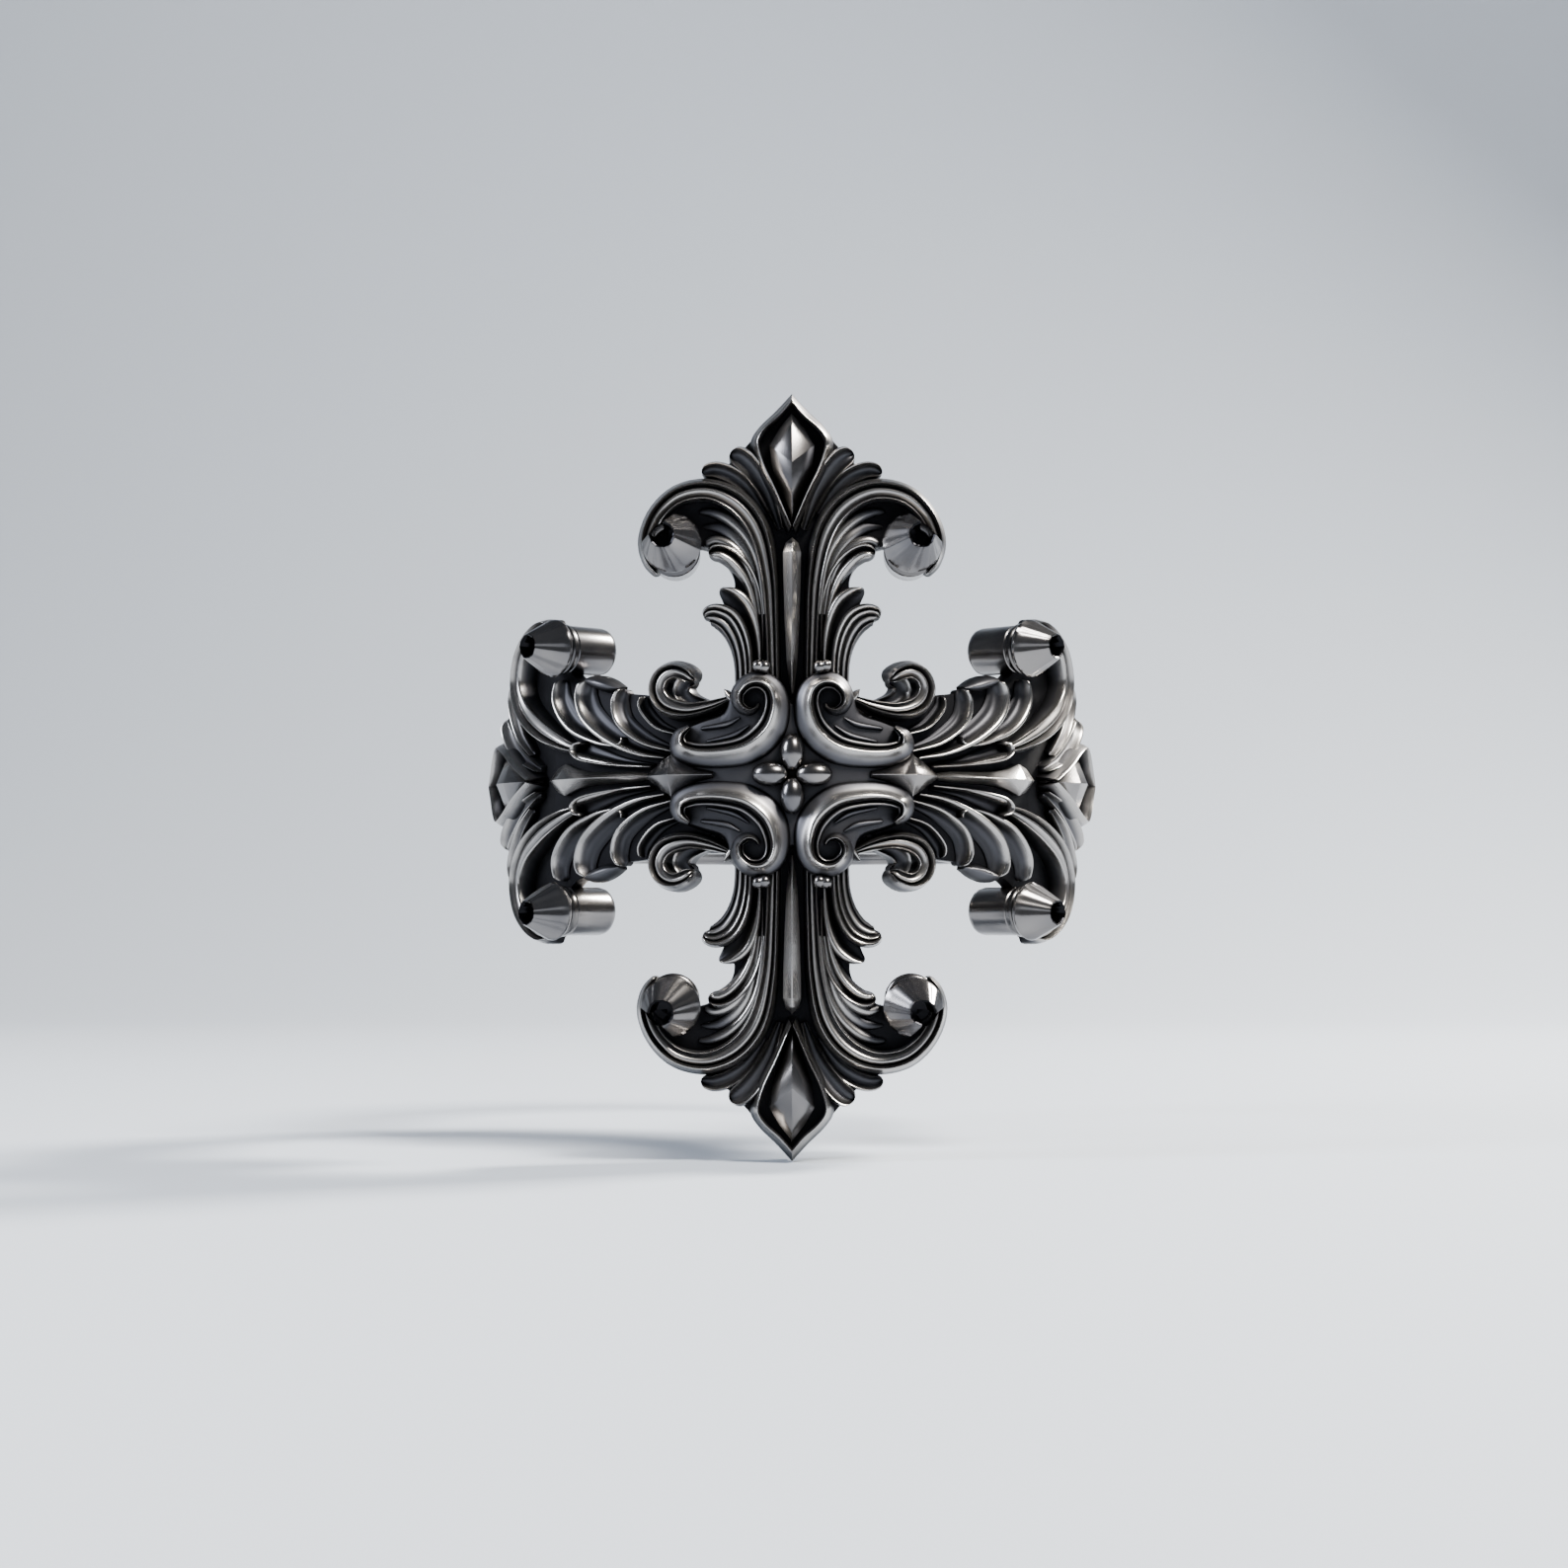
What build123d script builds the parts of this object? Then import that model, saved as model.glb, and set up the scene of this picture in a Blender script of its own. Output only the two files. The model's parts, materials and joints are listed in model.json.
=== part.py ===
"""Finger ring with a foliate cross on its face, as a bench assembly.

A plain hoop goes round the finger. A tall flat plate lies across its front as the upright of the
cross, and two curved plates run round its sides as the arms. Straps, leaves, scrolls, spears and
beads are soldered on the plates, and turned posts with coned caps stand in notches in the plates,
in the eyes of the eight large scrolls.

Frame: the origin is the centre of the finger bore, +Z runs along the finger towards the top of
the cross, the face of the cross looks along -Y, and +X is the right side of that face. Sizes are
in millimetres.
"""

from build123d import *
from math import cos, degrees, radians, sin
import os

# Hoop
BORE_R = 9.9
BAND_R = 11.1
BAND_HALF = 2.9  # half the hoop's width along the finger
BAND_ROUND = 0.35

# Distances of each layer from the finger's axis
BACK_R = 10.4  # back of the upright plate and of its posts
WING_BACK_R = 10.0  # back of the posts on the wings
FLOOR_R = 11.7  # face of the plates, the dark floor between the leaves
LEAF_R = 12.2
STRAP_R = 12.45  # top of the scroll straps and of the boss
FRAME_R = 12.6
CREST_R = 13.05  # top of the centre scrolls, beads and collar spears
EYE_R = 13.7  # top of the coned caps

# Scroll posts
POST_R = 0.93
NECK_R, NECK = 0.80, 0.12  # narrow neck under the cap, and its length
CAP_R, CAP_TOP_R = 1.10, 0.46
EYE_HOLE_R, EYE_HOLE_DEPTH = 0.36, 0.5
POST_AT = (4.40, 8.35)  # across and up from the centre, on the upright
CAP_LEAN = (0.38, 0.42)  # how far a cap's eye stands off its shank
WING_POST_AT = (10.1, 5.06)  # round the ring from the centre and up, on a wing
WING_CAP_LEAN = (0.40, 0.05)

# Laying out the wings: their own pattern, and the upright's tips moved out and spread, on a cylinder
PATTERN_R = 12.3
WING_SHIFT, WING_SPREAD = 2.65, 1.15
SCROLL_TURN = degrees(WING_POST_AT[0] / PATTERN_R)  # how far round a wing's posts stand
LEAF_TURN = degrees(8.0 / PATTERN_R)
TIP_TURN = degrees(14.4 / PATTERN_R)
COLLAR_TURN = degrees(4.4 / PATTERN_R)
REACH = 20  # longer than the part in every direction

# Straps and leaves, upper right quarter. Upright: across, up, half-width.
UPRIGHT_SCROLL = [
    (0.70, 2.9, 0.24),
    (0.74, 5.6, 0.27),
    (0.84, 7.5, 0.34),
    (1.20, 9.1, 0.42),
    (1.95, 10.1, 0.42),
    (3.05, 10.66, 0.38),
    (4.20, 10.52, 0.36),
    (5.05, 9.85, 0.33),
    (5.47, 8.9, 0.27),
    (5.36, 8.1, 0.22),
]
UPRIGHT_LEAVES = [
    [(1.18, 4.6, 0.14), (1.30, 6.4, 0.28), (1.68, 7.7, 0.38), (2.35, 8.3, 0.38), (3.05, 8.42, 0.22)],
    [(1.30, 3.6, 0.14), (1.45, 5.4, 0.28), (1.75, 6.5, 0.34), (2.20, 7.0, 0.28), (2.68, 7.12, 0.10)],
    [(1.86, 2.9, 0.34), (1.86, 4.3, 0.34), (2.04, 5.2, 0.40), (2.45, 5.84, 0.44), (3.00, 5.94, 0.26)],
]
TIP_LEAVES = [
    [(0.60, 9.6, 0.10), (0.85, 10.35, 0.20), (1.35, 11.25, 0.28), (1.90, 11.85, 0.32), (2.38, 12.05, 0.22)],
    [(0.95, 10.1, 0.10), (1.50, 10.8, 0.20), (2.20, 11.3, 0.26), (2.90, 11.48, 0.25), (3.40, 11.34, 0.12)],
]

# Wings: distance round from the centre, height, half-width.
WING_SCROLL = [
    (9.5, 1.00, 0.26),
    (10.4, 1.36, 0.34),
    (11.6, 2.00, 0.42),
    (12.7, 2.80, 0.44),
    (13.25, 3.80, 0.42),
    (13.0, 4.80, 0.38),
    (12.3, 5.55, 0.33),
    (11.4, 6.02, 0.26),
]
WING_LEAVES = [
    [(7.2, 1.30, 0.12), (8.2, 1.62, 0.26), (9.5, 2.25, 0.34), (10.25, 3.05, 0.34), (10.25, 3.75, 0.20)],
    [(5.0, 0.95, 0.12), (6.2, 1.25, 0.24), (7.5, 1.75, 0.34), (8.5, 2.45, 0.40), (8.85, 3.1, 0.42), (8.75, 3.6, 0.34)],
    [(4.9, 1.35, 0.10), (5.9, 1.70, 0.22), (6.7, 2.25, 0.28), (7.0, 2.80, 0.28), (6.85, 3.25, 0.18)],
    [(5.9, 0.52, 0.10), (7.2, 0.62, 0.14), (8.6, 0.78, 0.20), (9.5, 1.05, 0.24)],
]
HOOK_SCROLL = [
    (2.75, 2.62, 0.20),
    (3.5, 2.40, 0.26),
    (4.35, 2.32, 0.32),
    (5.15, 2.62, 0.36),
    (5.50, 3.25, 0.36),
    (5.25, 3.82, 0.33),
    (4.65, 4.02, 0.30),
    (4.15, 3.80, 0.26),
]
CENTRE_SCROLL = [
    (3.85, 1.72, 0.10),
    (4.22, 1.45, 0.22),
    (4.12, 1.02, 0.28),
    (3.45, 0.78, 0.30),
    (2.55, 0.72, 0.31),
    (1.60, 0.98, 0.34),
    (0.86, 1.60, 0.36),
    (0.52, 2.45, 0.34),
    (0.68, 3.15, 0.30),
]
VOLUTE_AT, VOLUTE_R, VOLUTE_HOLE_R = (1.48, 2.86), 0.78, 0.34

# Plates and the boss, upper right quarter, from one axis of the cross to the other.
UPRIGHT_EDGE = [
    (2.1, 0.0),
    (2.1, 4.2),
    (2.35, 5.1),
    (2.85, 5.75),
    (2.30, 6.6),
    (2.15, 7.3),
    (2.60, 8.1),
    (3.40, 8.6),
    (4.40, 8.3),
    (5.20, 8.1),
    (5.50, 9.0),
    (4.90, 10.0),
    (3.90, 10.75),
    (2.90, 11.3),
    (2.10, 11.95),
    (1.25, 12.9),
    (0.60, 13.55),
    (0.00, 14.2),
]
WING_EDGE = [
    (1.0, 0.0),
    (1.0, 2.5),
    (4.4, 2.5),
    (5.6, 3.0),
    (7.0, 3.2),
    (8.8, 3.6),
    (10.1, 4.3),
    (10.5, 5.5),
    (11.5, 6.2),
    (12.7, 5.8),
    (13.6, 4.8),
    (14.0, 3.6),
    (14.8, 2.5),
    (15.8, 1.5),
    (16.9, 0.0),
]
BOSS_EDGE = [(4.3, 0.0), (4.5, 1.5), (3.6, 1.95), (2.5, 2.3), (2.3, 3.3), (1.6, 3.6), (0.8, 3.3), (0.0, 2.7)]

# Framed spear at the end of every arm: half outlines, across and up.
FRAME_OUTER = [
    (0.0, 14.35),
    (0.62, 13.68),
    (1.25, 13.12),
    (1.53, 12.6),
    (1.42, 11.9),
    (0.80, 10.4),
    (0.14, 9.0),
    (0.0, 9.0),
]
FRAME_INNER = [(0.0, 13.82), (0.52, 13.30), (1.02, 12.85), (1.20, 12.5), (1.10, 11.9), (0.58, 10.6), (0.0, 9.45)]
SPEAR = [(0.0, 13.35), (0.83, 12.35), (0.42, 11.2), (0.0, 9.9)]
SPEAR_PEAK = (0.0, 12.3)
SHOULDER = 0.35  # straight side of a spear, under its facets

# Mid-ribs: half outlines, across and up for the upright's, round the ring and up for the wings'.
LANCE = [(0.0, 2.9), (0.30, 2.9), (0.30, 7.6), (0.0, 8.75)]
WING_RIDGE = [(5.65, 0.0), (5.95, 0.22), (9.0, 0.22), (10.15, 0.66), (11.1, 0.0)]
COLLAR_SPEAR = [(2.6, 0.0), (2.6, 0.22), (3.7, 0.34), (4.85, 0.80), (5.6, 0.0)]

# Beads: distance of a quatrefoil bead from the centre and its half-sizes, and the grains' place and radius.
BEAD_OUT, BEAD_LONG, BEAD_SHORT = 0.81, 0.58, 0.38
GRAIN_AT, GRAIN_R = (1.12, 3.98), 0.28

FACE = Plane(origin=(0, 0, 0), x_dir=(1, 0, 0), z_dir=(0, -1, 0))
SIDES = {"right": (), "left": (Plane.YZ,)}
ENDS = {"upper": (), "lower": (Plane.XY,)}
QUARTERS = {f"{end}_{side}": across + along for end, across in ENDS.items() for side, along in SIDES.items()}


def turned(degrees_round):
    """Plane through the finger's axis that faces outwards this far round from the face."""
    a = radians(degrees_round)
    return Plane(origin=(0, 0, 0), x_dir=(cos(a), sin(a), 0), z_dir=(sin(a), -cos(a), 0))


def round_ring(points, degrees_round):
    """Points laid out round the ring, as the turned plane sees them."""
    return [(PATTERN_R * sin(p[0] / PATTERN_R - radians(degrees_round)), *p[1:]) for p in points]


def on_wing(points):
    """Points of the upright's pattern, moved out and spread to their place on a wing."""
    return [(p[1] + WING_SHIFT, p[0] * WING_SPREAD, *p[2:]) for p in points]


def reflected(points, across, up):
    """An outline that starts and ends on an axis, carried on round by its reflection in that axis."""
    reflection = [(across * x, up * y) for x, y in reversed(points)]
    return [*points, *[point for point in reflection if point not in points]]


def ribbon(points):
    """Outline of a strap or leaf: smooth sides, a square foot and a rounded tip."""
    left, right = [], []
    for i, (x, y, half) in enumerate(points):
        ahead, behind = points[min(i + 1, len(points) - 1)], points[max(i - 1, 0)]
        along = Vector(ahead[0] - behind[0], ahead[1] - behind[1]).normalized()
        across = Vector(-along.Y, along.X) * half
        left.append(Vector(x, y) + across)
        right.append(Vector(x, y) - across)
    tip = Vector(x, y) + along * half
    with BuildLine() as outline:
        Spline(*left)
        ThreePointArc(left[-1], tip, right[-1])
        Spline(*right)
        Line(left[0], right[0])
    return outline.edges()


def keep_shell(low, high):
    """Keeps what lies between two distances from the finger's axis."""
    with BuildSketch(Plane.XY.offset(-REACH)) as ring:
        Circle(high)
        Circle(low, mode=Mode.SUBTRACT)
    extrude(ring.sketch, amount=2 * REACH, mode=Mode.INTERSECT)


def fit_round(pieces):
    """Cuts the open part back to fit against finished pieces."""
    for piece in pieces:
        add(piece, mode=Mode.SUBTRACT)


def place(part, mirrors):
    """A finished part reflected in each plane in turn."""
    for plane in mirrors:
        part = mirror(part, about=plane)
    return part


def write(part, name):
    """Labels a finished piece and writes its file."""
    part.label = name
    export_step(part, f"parts/{name}.step")


def flat_ribbons(ribbons, high, fitted):
    """Straps or leaves on the upright's flat face, up to this height, cut to fit against the pieces given."""
    with BuildPart() as made:
        with BuildSketch(FACE.offset(FLOOR_R)):
            for points in ribbons:
                make_face(ribbon(points))
        extrude(amount=high - FLOOR_R)
        fit_round(fitted)
    return made.part


def round_ribbons(ribbons, degrees_round, low, high, fitted):
    """Straps or leaves that follow the ring round, between two distances from its axis."""
    with BuildPart() as made:
        with BuildSketch(turned(degrees_round).offset(BACK_R / 2)):
            for points in ribbons:
                make_face(ribbon(round_ring(points, degrees_round)))
        extrude(amount=BACK_R)
        keep_shell(low, high)
        fit_round(fitted)
    return made.part


def post(plane, at, lean, back):
    """Turned shank, neck and leaning cap with a blind eye, at a point of a plane through the finger's axis."""
    neck_start, cap_start = STRAP_R - NECK, STRAP_R
    eye = (at[0] + lean[0], at[1] + lean[1])
    with BuildPart() as made:
        with BuildSketch(plane.offset(back)):
            with Locations(at):
                Circle(POST_R)
        extrude(amount=neck_start - back)
        with BuildSketch(plane.offset(neck_start)):
            with Locations(at):
                Circle(NECK_R)
        extrude(amount=NECK)
        with BuildSketch(plane.offset(cap_start)):
            with Locations(at):
                Circle(CAP_R)
        with BuildSketch(plane.offset(EYE_R)):
            with Locations(eye):
                Circle(CAP_TOP_R)
        loft()
        with BuildSketch(plane.offset(EYE_R - EYE_HOLE_DEPTH)):
            with Locations(eye):
                Circle(EYE_HOLE_R)
        extrude(amount=EYE_HOLE_DEPTH, mode=Mode.SUBTRACT)
    return made.part


def seat(plane, at):
    """Straight bar that stands for a post's shank when plates and straps are notched for it."""
    with BuildPart() as made:
        with BuildSketch(plane.offset(BACK_R / 2)):
            with Locations(at):
                Circle(POST_R)
        extrude(amount=BACK_R)
    return made.part


def spear(plane, outline, peak, foot):
    """Faceted spear: straight-sided from its foot to the shoulder, then facets that meet at its peak."""
    with BuildPart() as made:
        with BuildSketch(plane.offset(foot)):
            Polygon(*outline, align=None)
        extrude(amount=FLOOR_R + SHOULDER - foot)
        with BuildSketch(plane.offset(FLOOR_R + SHOULDER), mode=Mode.PRIVATE) as base:
            Polygon(*outline, align=None)
        loft([base.sketch.face(), Vertex(*plane.from_local_coords((*peak, FRAME_R)))], ruled=True)
        Cylinder(FLOOR_R, 2 * REACH, mode=Mode.SUBTRACT)
    return made.part


os.makedirs("parts", exist_ok=True)

# Hoop, with its edges rounded for comfort.
with BuildPart() as band:
    with BuildSketch(Plane.XZ):
        with Locations(((BORE_R + BAND_R) / 2, 0)):
            Rectangle(BAND_R - BORE_R, 2 * BAND_HALF)
        fillet(vertices(), BAND_ROUND)
    revolve(axis=Axis.Z)
write(band.part, "finger_band")

# Scroll posts: two on each end of the upright, and two on each wing.
wing_plane = turned(SCROLL_TURN)
wing_post_at = (0, WING_POST_AT[1])
upright_post = post(FACE, POST_AT, CAP_LEAN, BACK_R)
wing_post = post(wing_plane, wing_post_at, WING_CAP_LEAN, WING_BACK_R)
upright_seat = seat(FACE, POST_AT)
wing_seat = seat(wing_plane, wing_post_at)
for quarter, mirrors in QUARTERS.items():
    write(place(upright_post, mirrors), f"upright_post_{quarter}")
    write(place(wing_post, mirrors), f"wing_post_{quarter}")

# Upright plate: flat, saddled over the hoop and notched for its posts.
with BuildPart() as upright_plate:
    with BuildSketch(FACE.offset(BACK_R)):
        with BuildLine():
            Line(*UPRIGHT_EDGE[:2])
            Spline(*UPRIGHT_EDGE[1:])
            mirror(about=Plane.YZ)
            mirror(about=Plane.XZ)
        make_face()
        with GridLocations(2 * POST_AT[0], 2 * POST_AT[1], 2, 2):
            Circle(POST_R, mode=Mode.SUBTRACT)
    extrude(amount=FLOOR_R - BACK_R)
    Cylinder(BAND_R, 2 * BAND_HALF, mode=Mode.SUBTRACT)
write(upright_plate.part, "upright_plate")

# Wing plates: bent to the hoop, butted against the upright and notched for their posts.
with BuildPart() as wing_plate:
    half_way = (SCROLL_TURN + LEAF_TURN) / 2
    with BuildSketch(turned(half_way).offset(BACK_R / 2)):
        edge = round_ring(WING_EDGE, half_way)
        with BuildLine():
            Line(*edge[:2])
            Spline(*edge[1:])
            mirror(about=Plane.XZ)
        make_face()
    extrude(amount=BACK_R)
    keep_shell(BAND_R, FLOOR_R)
    split(bisect_by=Plane.YZ.offset(UPRIGHT_EDGE[0][0]), keep=Keep.TOP)
    fit_round(place(wing_seat, mirrors) for mirrors in ENDS.values())
for side, mirrors in SIDES.items():
    write(place(wing_plate.part, mirrors), f"{side}_wing_plate")

# Boss: a bent pad where the arms cross, which the centre scrolls and beads stand on.
with BuildPart() as boss:
    with BuildSketch(FACE.offset(BACK_R)):
        with BuildLine():
            Spline(*BOSS_EDGE, tangents=((0, 1), (-1, 0)))
            mirror(about=Plane.YZ)
            mirror(about=Plane.XZ)
        make_face()
    extrude(amount=BACK_R)
    keep_shell(FLOOR_R, STRAP_R)
    fit_round([upright_plate.part])
write(boss.part, "centre_boss")

# Centre scrolls: each a hooked strap with a pierced volute at its other end.
with BuildPart() as centre_scroll:
    with BuildSketch(FACE.offset(BACK_R)):
        make_face(ribbon(CENTRE_SCROLL))
        with Locations(VOLUTE_AT):
            Circle(VOLUTE_R)
            Circle(VOLUTE_HOLE_R, mode=Mode.SUBTRACT)
    extrude(amount=BACK_R)
    keep_shell(STRAP_R, CREST_R)
for quarter, mirrors in QUARTERS.items():
    write(place(centre_scroll.part, mirrors), f"centre_scroll_{quarter}")

# Quatrefoil beads on the boss, and a grain above and below each centre volute.
with BuildPart() as beads:
    with BuildSketch(FACE.offset(BACK_R)):
        with PolarLocations(BEAD_OUT, 4):
            Ellipse(BEAD_LONG, BEAD_SHORT)
    extrude(amount=BACK_R)
    keep_shell(STRAP_R, CREST_R)
write(beads.part, "quatrefoil_beads")

with BuildPart() as grain:
    with BuildSketch(FACE.offset(FLOOR_R)):
        with Locations(GRAIN_AT):
            Circle(GRAIN_R)
    extrude(amount=CREST_R - FLOOR_R)
    fillet(faces().sort_by(Axis.Y)[0].edges(), GRAIN_R * 0.8)
write(Compound([place(grain.part, mirrors) for mirrors in QUARTERS.values()]), "grain_buds")

# Framed spears at the ends of the upright, and the lances that lead to them.
with BuildPart() as upright_frame:
    with BuildSketch(FACE.offset(FLOOR_R)):
        Polygon(*reflected(FRAME_OUTER, -1, 1), align=None)
        Polygon(*reflected(FRAME_INNER, -1, 1), align=None, mode=Mode.SUBTRACT)
    extrude(amount=FRAME_R - FLOOR_R)
upright_spear = spear(FACE, reflected(SPEAR, -1, 1), SPEAR_PEAK, FLOOR_R)
with BuildPart() as lance:
    with BuildSketch(FACE.offset(FLOOR_R)):
        Polygon(*reflected(LANCE, -1, 1), align=None)
    extrude(amount=STRAP_R - FLOOR_R)
    fit_round([boss.part])
for end, mirrors in ENDS.items():
    write(place(upright_frame.part, mirrors), f"{end}_tip_frame")
    write(place(upright_spear, mirrors), f"{end}_tip_spear")
    write(place(lance.part, mirrors), f"{end}_lance")

# The same frames and spears on the wings, and the ridges and collar spears that lead to them.
tip_plane = turned(TIP_TURN)


def wing_outline(points):
    """A half outline at the end of the upright, whole and moved to the end of a wing."""
    return reflected(round_ring(on_wing(points), TIP_TURN), 1, -1)


with BuildPart() as wing_frame:
    with BuildSketch(tip_plane.offset(BACK_R / 2)):
        Polygon(*wing_outline(FRAME_OUTER), align=None)
        Polygon(*wing_outline(FRAME_INNER), align=None, mode=Mode.SUBTRACT)
    extrude(amount=BACK_R)
    keep_shell(FLOOR_R, FRAME_R)
wing_spear = spear(tip_plane, wing_outline(SPEAR), wing_outline([SPEAR_PEAK])[0], BACK_R)
with BuildPart() as wing_ridge:
    with BuildSketch(turned(LEAF_TURN).offset(BACK_R / 2)):
        Polygon(*reflected(round_ring(WING_RIDGE, LEAF_TURN), 1, -1), align=None)
    extrude(amount=BACK_R)
    keep_shell(FLOOR_R, STRAP_R)
with BuildPart() as collar_spear:
    with BuildSketch(turned(COLLAR_TURN).offset(BACK_R / 2)):
        Polygon(*reflected(round_ring(COLLAR_SPEAR, COLLAR_TURN), 1, -1), align=None)
    extrude(amount=BACK_R)
    keep_shell(FLOOR_R, CREST_R)
    fit_round([boss.part, centre_scroll.part, place(centre_scroll.part, (Plane.XY,)), beads.part])
for side, mirrors in SIDES.items():
    write(place(wing_frame.part, mirrors), f"{side}_tip_frame")
    write(place(wing_spear, mirrors), f"{side}_tip_spear")
    write(place(wing_ridge.part, mirrors), f"{side}_wing_ridge")
    write(place(collar_spear.part, mirrors), f"{side}_collar_spear")

# Large scrolls, each one strap coiled round its post.
upright_scroll = flat_ribbons(
    [UPRIGHT_SCROLL], STRAP_R, [upright_seat, boss.part, centre_scroll.part, upright_frame.part, grain.part]
)
wing_scroll = round_ribbons(
    [WING_SCROLL], SCROLL_TURN, FLOOR_R, STRAP_R, [wing_seat, wing_frame.part, wing_ridge.part]
)
hook_scroll = round_ribbons(
    [HOOK_SCROLL], COLLAR_TURN, FLOOR_R, STRAP_R, [boss.part, upright_plate.part]
)

# Leaves inside the scrolls, and the pairs that flank the frames at the ends of the arms.
upright_leaves = flat_ribbons(UPRIGHT_LEAVES, LEAF_R, [upright_scroll, upright_seat, boss.part, hook_scroll, grain.part])
wing_leaves = round_ribbons(
    WING_LEAVES, LEAF_TURN, FLOOR_R, LEAF_R, [wing_scroll, wing_seat, wing_ridge.part, hook_scroll, collar_spear.part]
)
upright_tip_leaves = flat_ribbons(TIP_LEAVES, LEAF_R, [upright_scroll, upright_frame.part])
wing_tip_leaves = round_ribbons(
    [on_wing(points) for points in TIP_LEAVES], TIP_TURN, FLOOR_R, LEAF_R, [wing_scroll, wing_frame.part]
)
for quarter, mirrors in QUARTERS.items():
    write(place(upright_scroll, mirrors), f"upright_scroll_{quarter}")
    write(place(wing_scroll, mirrors), f"wing_scroll_{quarter}")
    write(place(hook_scroll, mirrors), f"hook_scroll_{quarter}")
    write(place(upright_leaves, mirrors), f"upright_leaves_{quarter}")
    write(place(wing_leaves, mirrors), f"wing_leaves_{quarter}")
for end, mirrors in ENDS.items():
    write(Compound([place(upright_tip_leaves, mirrors + across) for across in SIDES.values()]), f"{end}_tip_leaves")
for side, mirrors in SIDES.items():
    write(Compound([place(wing_tip_leaves, mirrors + along) for along in ENDS.values()]), f"{side}_tip_leaves")
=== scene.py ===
"""Finger ring with a foliate cross, in oxidised silver: the relief, the turned posts and the hoop.

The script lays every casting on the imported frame's plates. Ornament is drawn in millimetres on a
flat pattern of the cross's upper right quarter: across, up, and the height over the plates' face.
The upright's pattern lies flat on the face, a wing's is bent round the finger's axis, and the
other three quarters are mirrored copies.
"""

from itertools import accumulate
from math import atan2, ceil, cos, hypot, pi, radians, sin, sqrt
import json

import bpy
from bpy.props import FloatProperty, FloatVectorProperty, PointerProperty
from mathutils import Matrix, Vector

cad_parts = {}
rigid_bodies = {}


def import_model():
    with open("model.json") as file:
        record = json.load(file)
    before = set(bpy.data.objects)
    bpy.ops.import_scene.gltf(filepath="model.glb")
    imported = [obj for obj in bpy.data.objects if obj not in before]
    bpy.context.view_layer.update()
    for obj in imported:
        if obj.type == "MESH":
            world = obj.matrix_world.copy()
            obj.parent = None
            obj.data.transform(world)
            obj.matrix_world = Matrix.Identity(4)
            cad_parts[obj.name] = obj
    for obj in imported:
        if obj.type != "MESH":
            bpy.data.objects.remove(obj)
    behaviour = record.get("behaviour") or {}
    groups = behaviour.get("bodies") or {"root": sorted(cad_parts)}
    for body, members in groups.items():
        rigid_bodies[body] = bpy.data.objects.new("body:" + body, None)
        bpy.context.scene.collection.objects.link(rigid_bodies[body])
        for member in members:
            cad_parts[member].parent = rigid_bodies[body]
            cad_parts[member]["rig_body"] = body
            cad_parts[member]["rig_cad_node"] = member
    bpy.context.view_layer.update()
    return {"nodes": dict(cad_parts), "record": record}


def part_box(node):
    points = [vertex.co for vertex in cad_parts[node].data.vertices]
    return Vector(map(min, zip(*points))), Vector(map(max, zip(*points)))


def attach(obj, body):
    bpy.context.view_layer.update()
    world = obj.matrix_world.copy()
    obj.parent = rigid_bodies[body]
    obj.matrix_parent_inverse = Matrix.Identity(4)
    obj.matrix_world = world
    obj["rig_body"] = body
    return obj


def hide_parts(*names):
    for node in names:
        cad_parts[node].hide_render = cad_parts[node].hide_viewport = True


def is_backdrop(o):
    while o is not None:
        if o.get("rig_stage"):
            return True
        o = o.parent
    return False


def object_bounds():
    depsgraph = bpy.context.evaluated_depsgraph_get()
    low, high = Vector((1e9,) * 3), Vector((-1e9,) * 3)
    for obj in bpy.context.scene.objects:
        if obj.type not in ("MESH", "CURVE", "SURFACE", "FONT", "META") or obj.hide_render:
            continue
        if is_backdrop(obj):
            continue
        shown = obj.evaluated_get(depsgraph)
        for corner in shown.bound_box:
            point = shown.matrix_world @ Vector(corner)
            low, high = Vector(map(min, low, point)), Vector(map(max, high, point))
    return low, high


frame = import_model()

bl_info = {
    "name": "Foliate Cross Ring",
    "version": (1, 0, 0),
    "blender": (4, 5, 0),
    "location": "View3D > Sidebar > Cross Ring",
    "description": "Models the relief, posts and hoop of a silver finger ring with a foliate cross",
    "category": "Add Mesh",
}

MM = 0.001
FACE_R = -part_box("upright_plate")[0].y  # distance of the plates' face from the finger's axis
PATTERN_R = 0.0123  # radius at which the wings' pattern is as long as it is drawn
SINK = -0.28  # how deep a casting's underside lies in its plate
LINE_STEPS, SECTION_STEPS = 12, 3  # steps between a centre line's points, and between a section's
CAP_ROWS = 8  # rows in the rounded end of a casting
CAP_FOOT = 0.45  # part of its height that a rounded end keeps to the last
FACET_WORN = 0.75  # how far the oxide is rubbed off a faceted bar's edges; its ridge is bare
WING_SHIFT, WING_SPREAD = 2.65, 1.15  # how the upright's pattern is moved out and spread on a wing

SIDES = {"right": (1, 1), "left": (-1, 1)}
ENDS = {"upper": (1, 1), "lower": (1, -1)}
QUARTERS = {"upper_right": (1, 1), "upper_left": (-1, 1), "lower_right": (1, -1), "lower_left": (-1, -1)}

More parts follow.
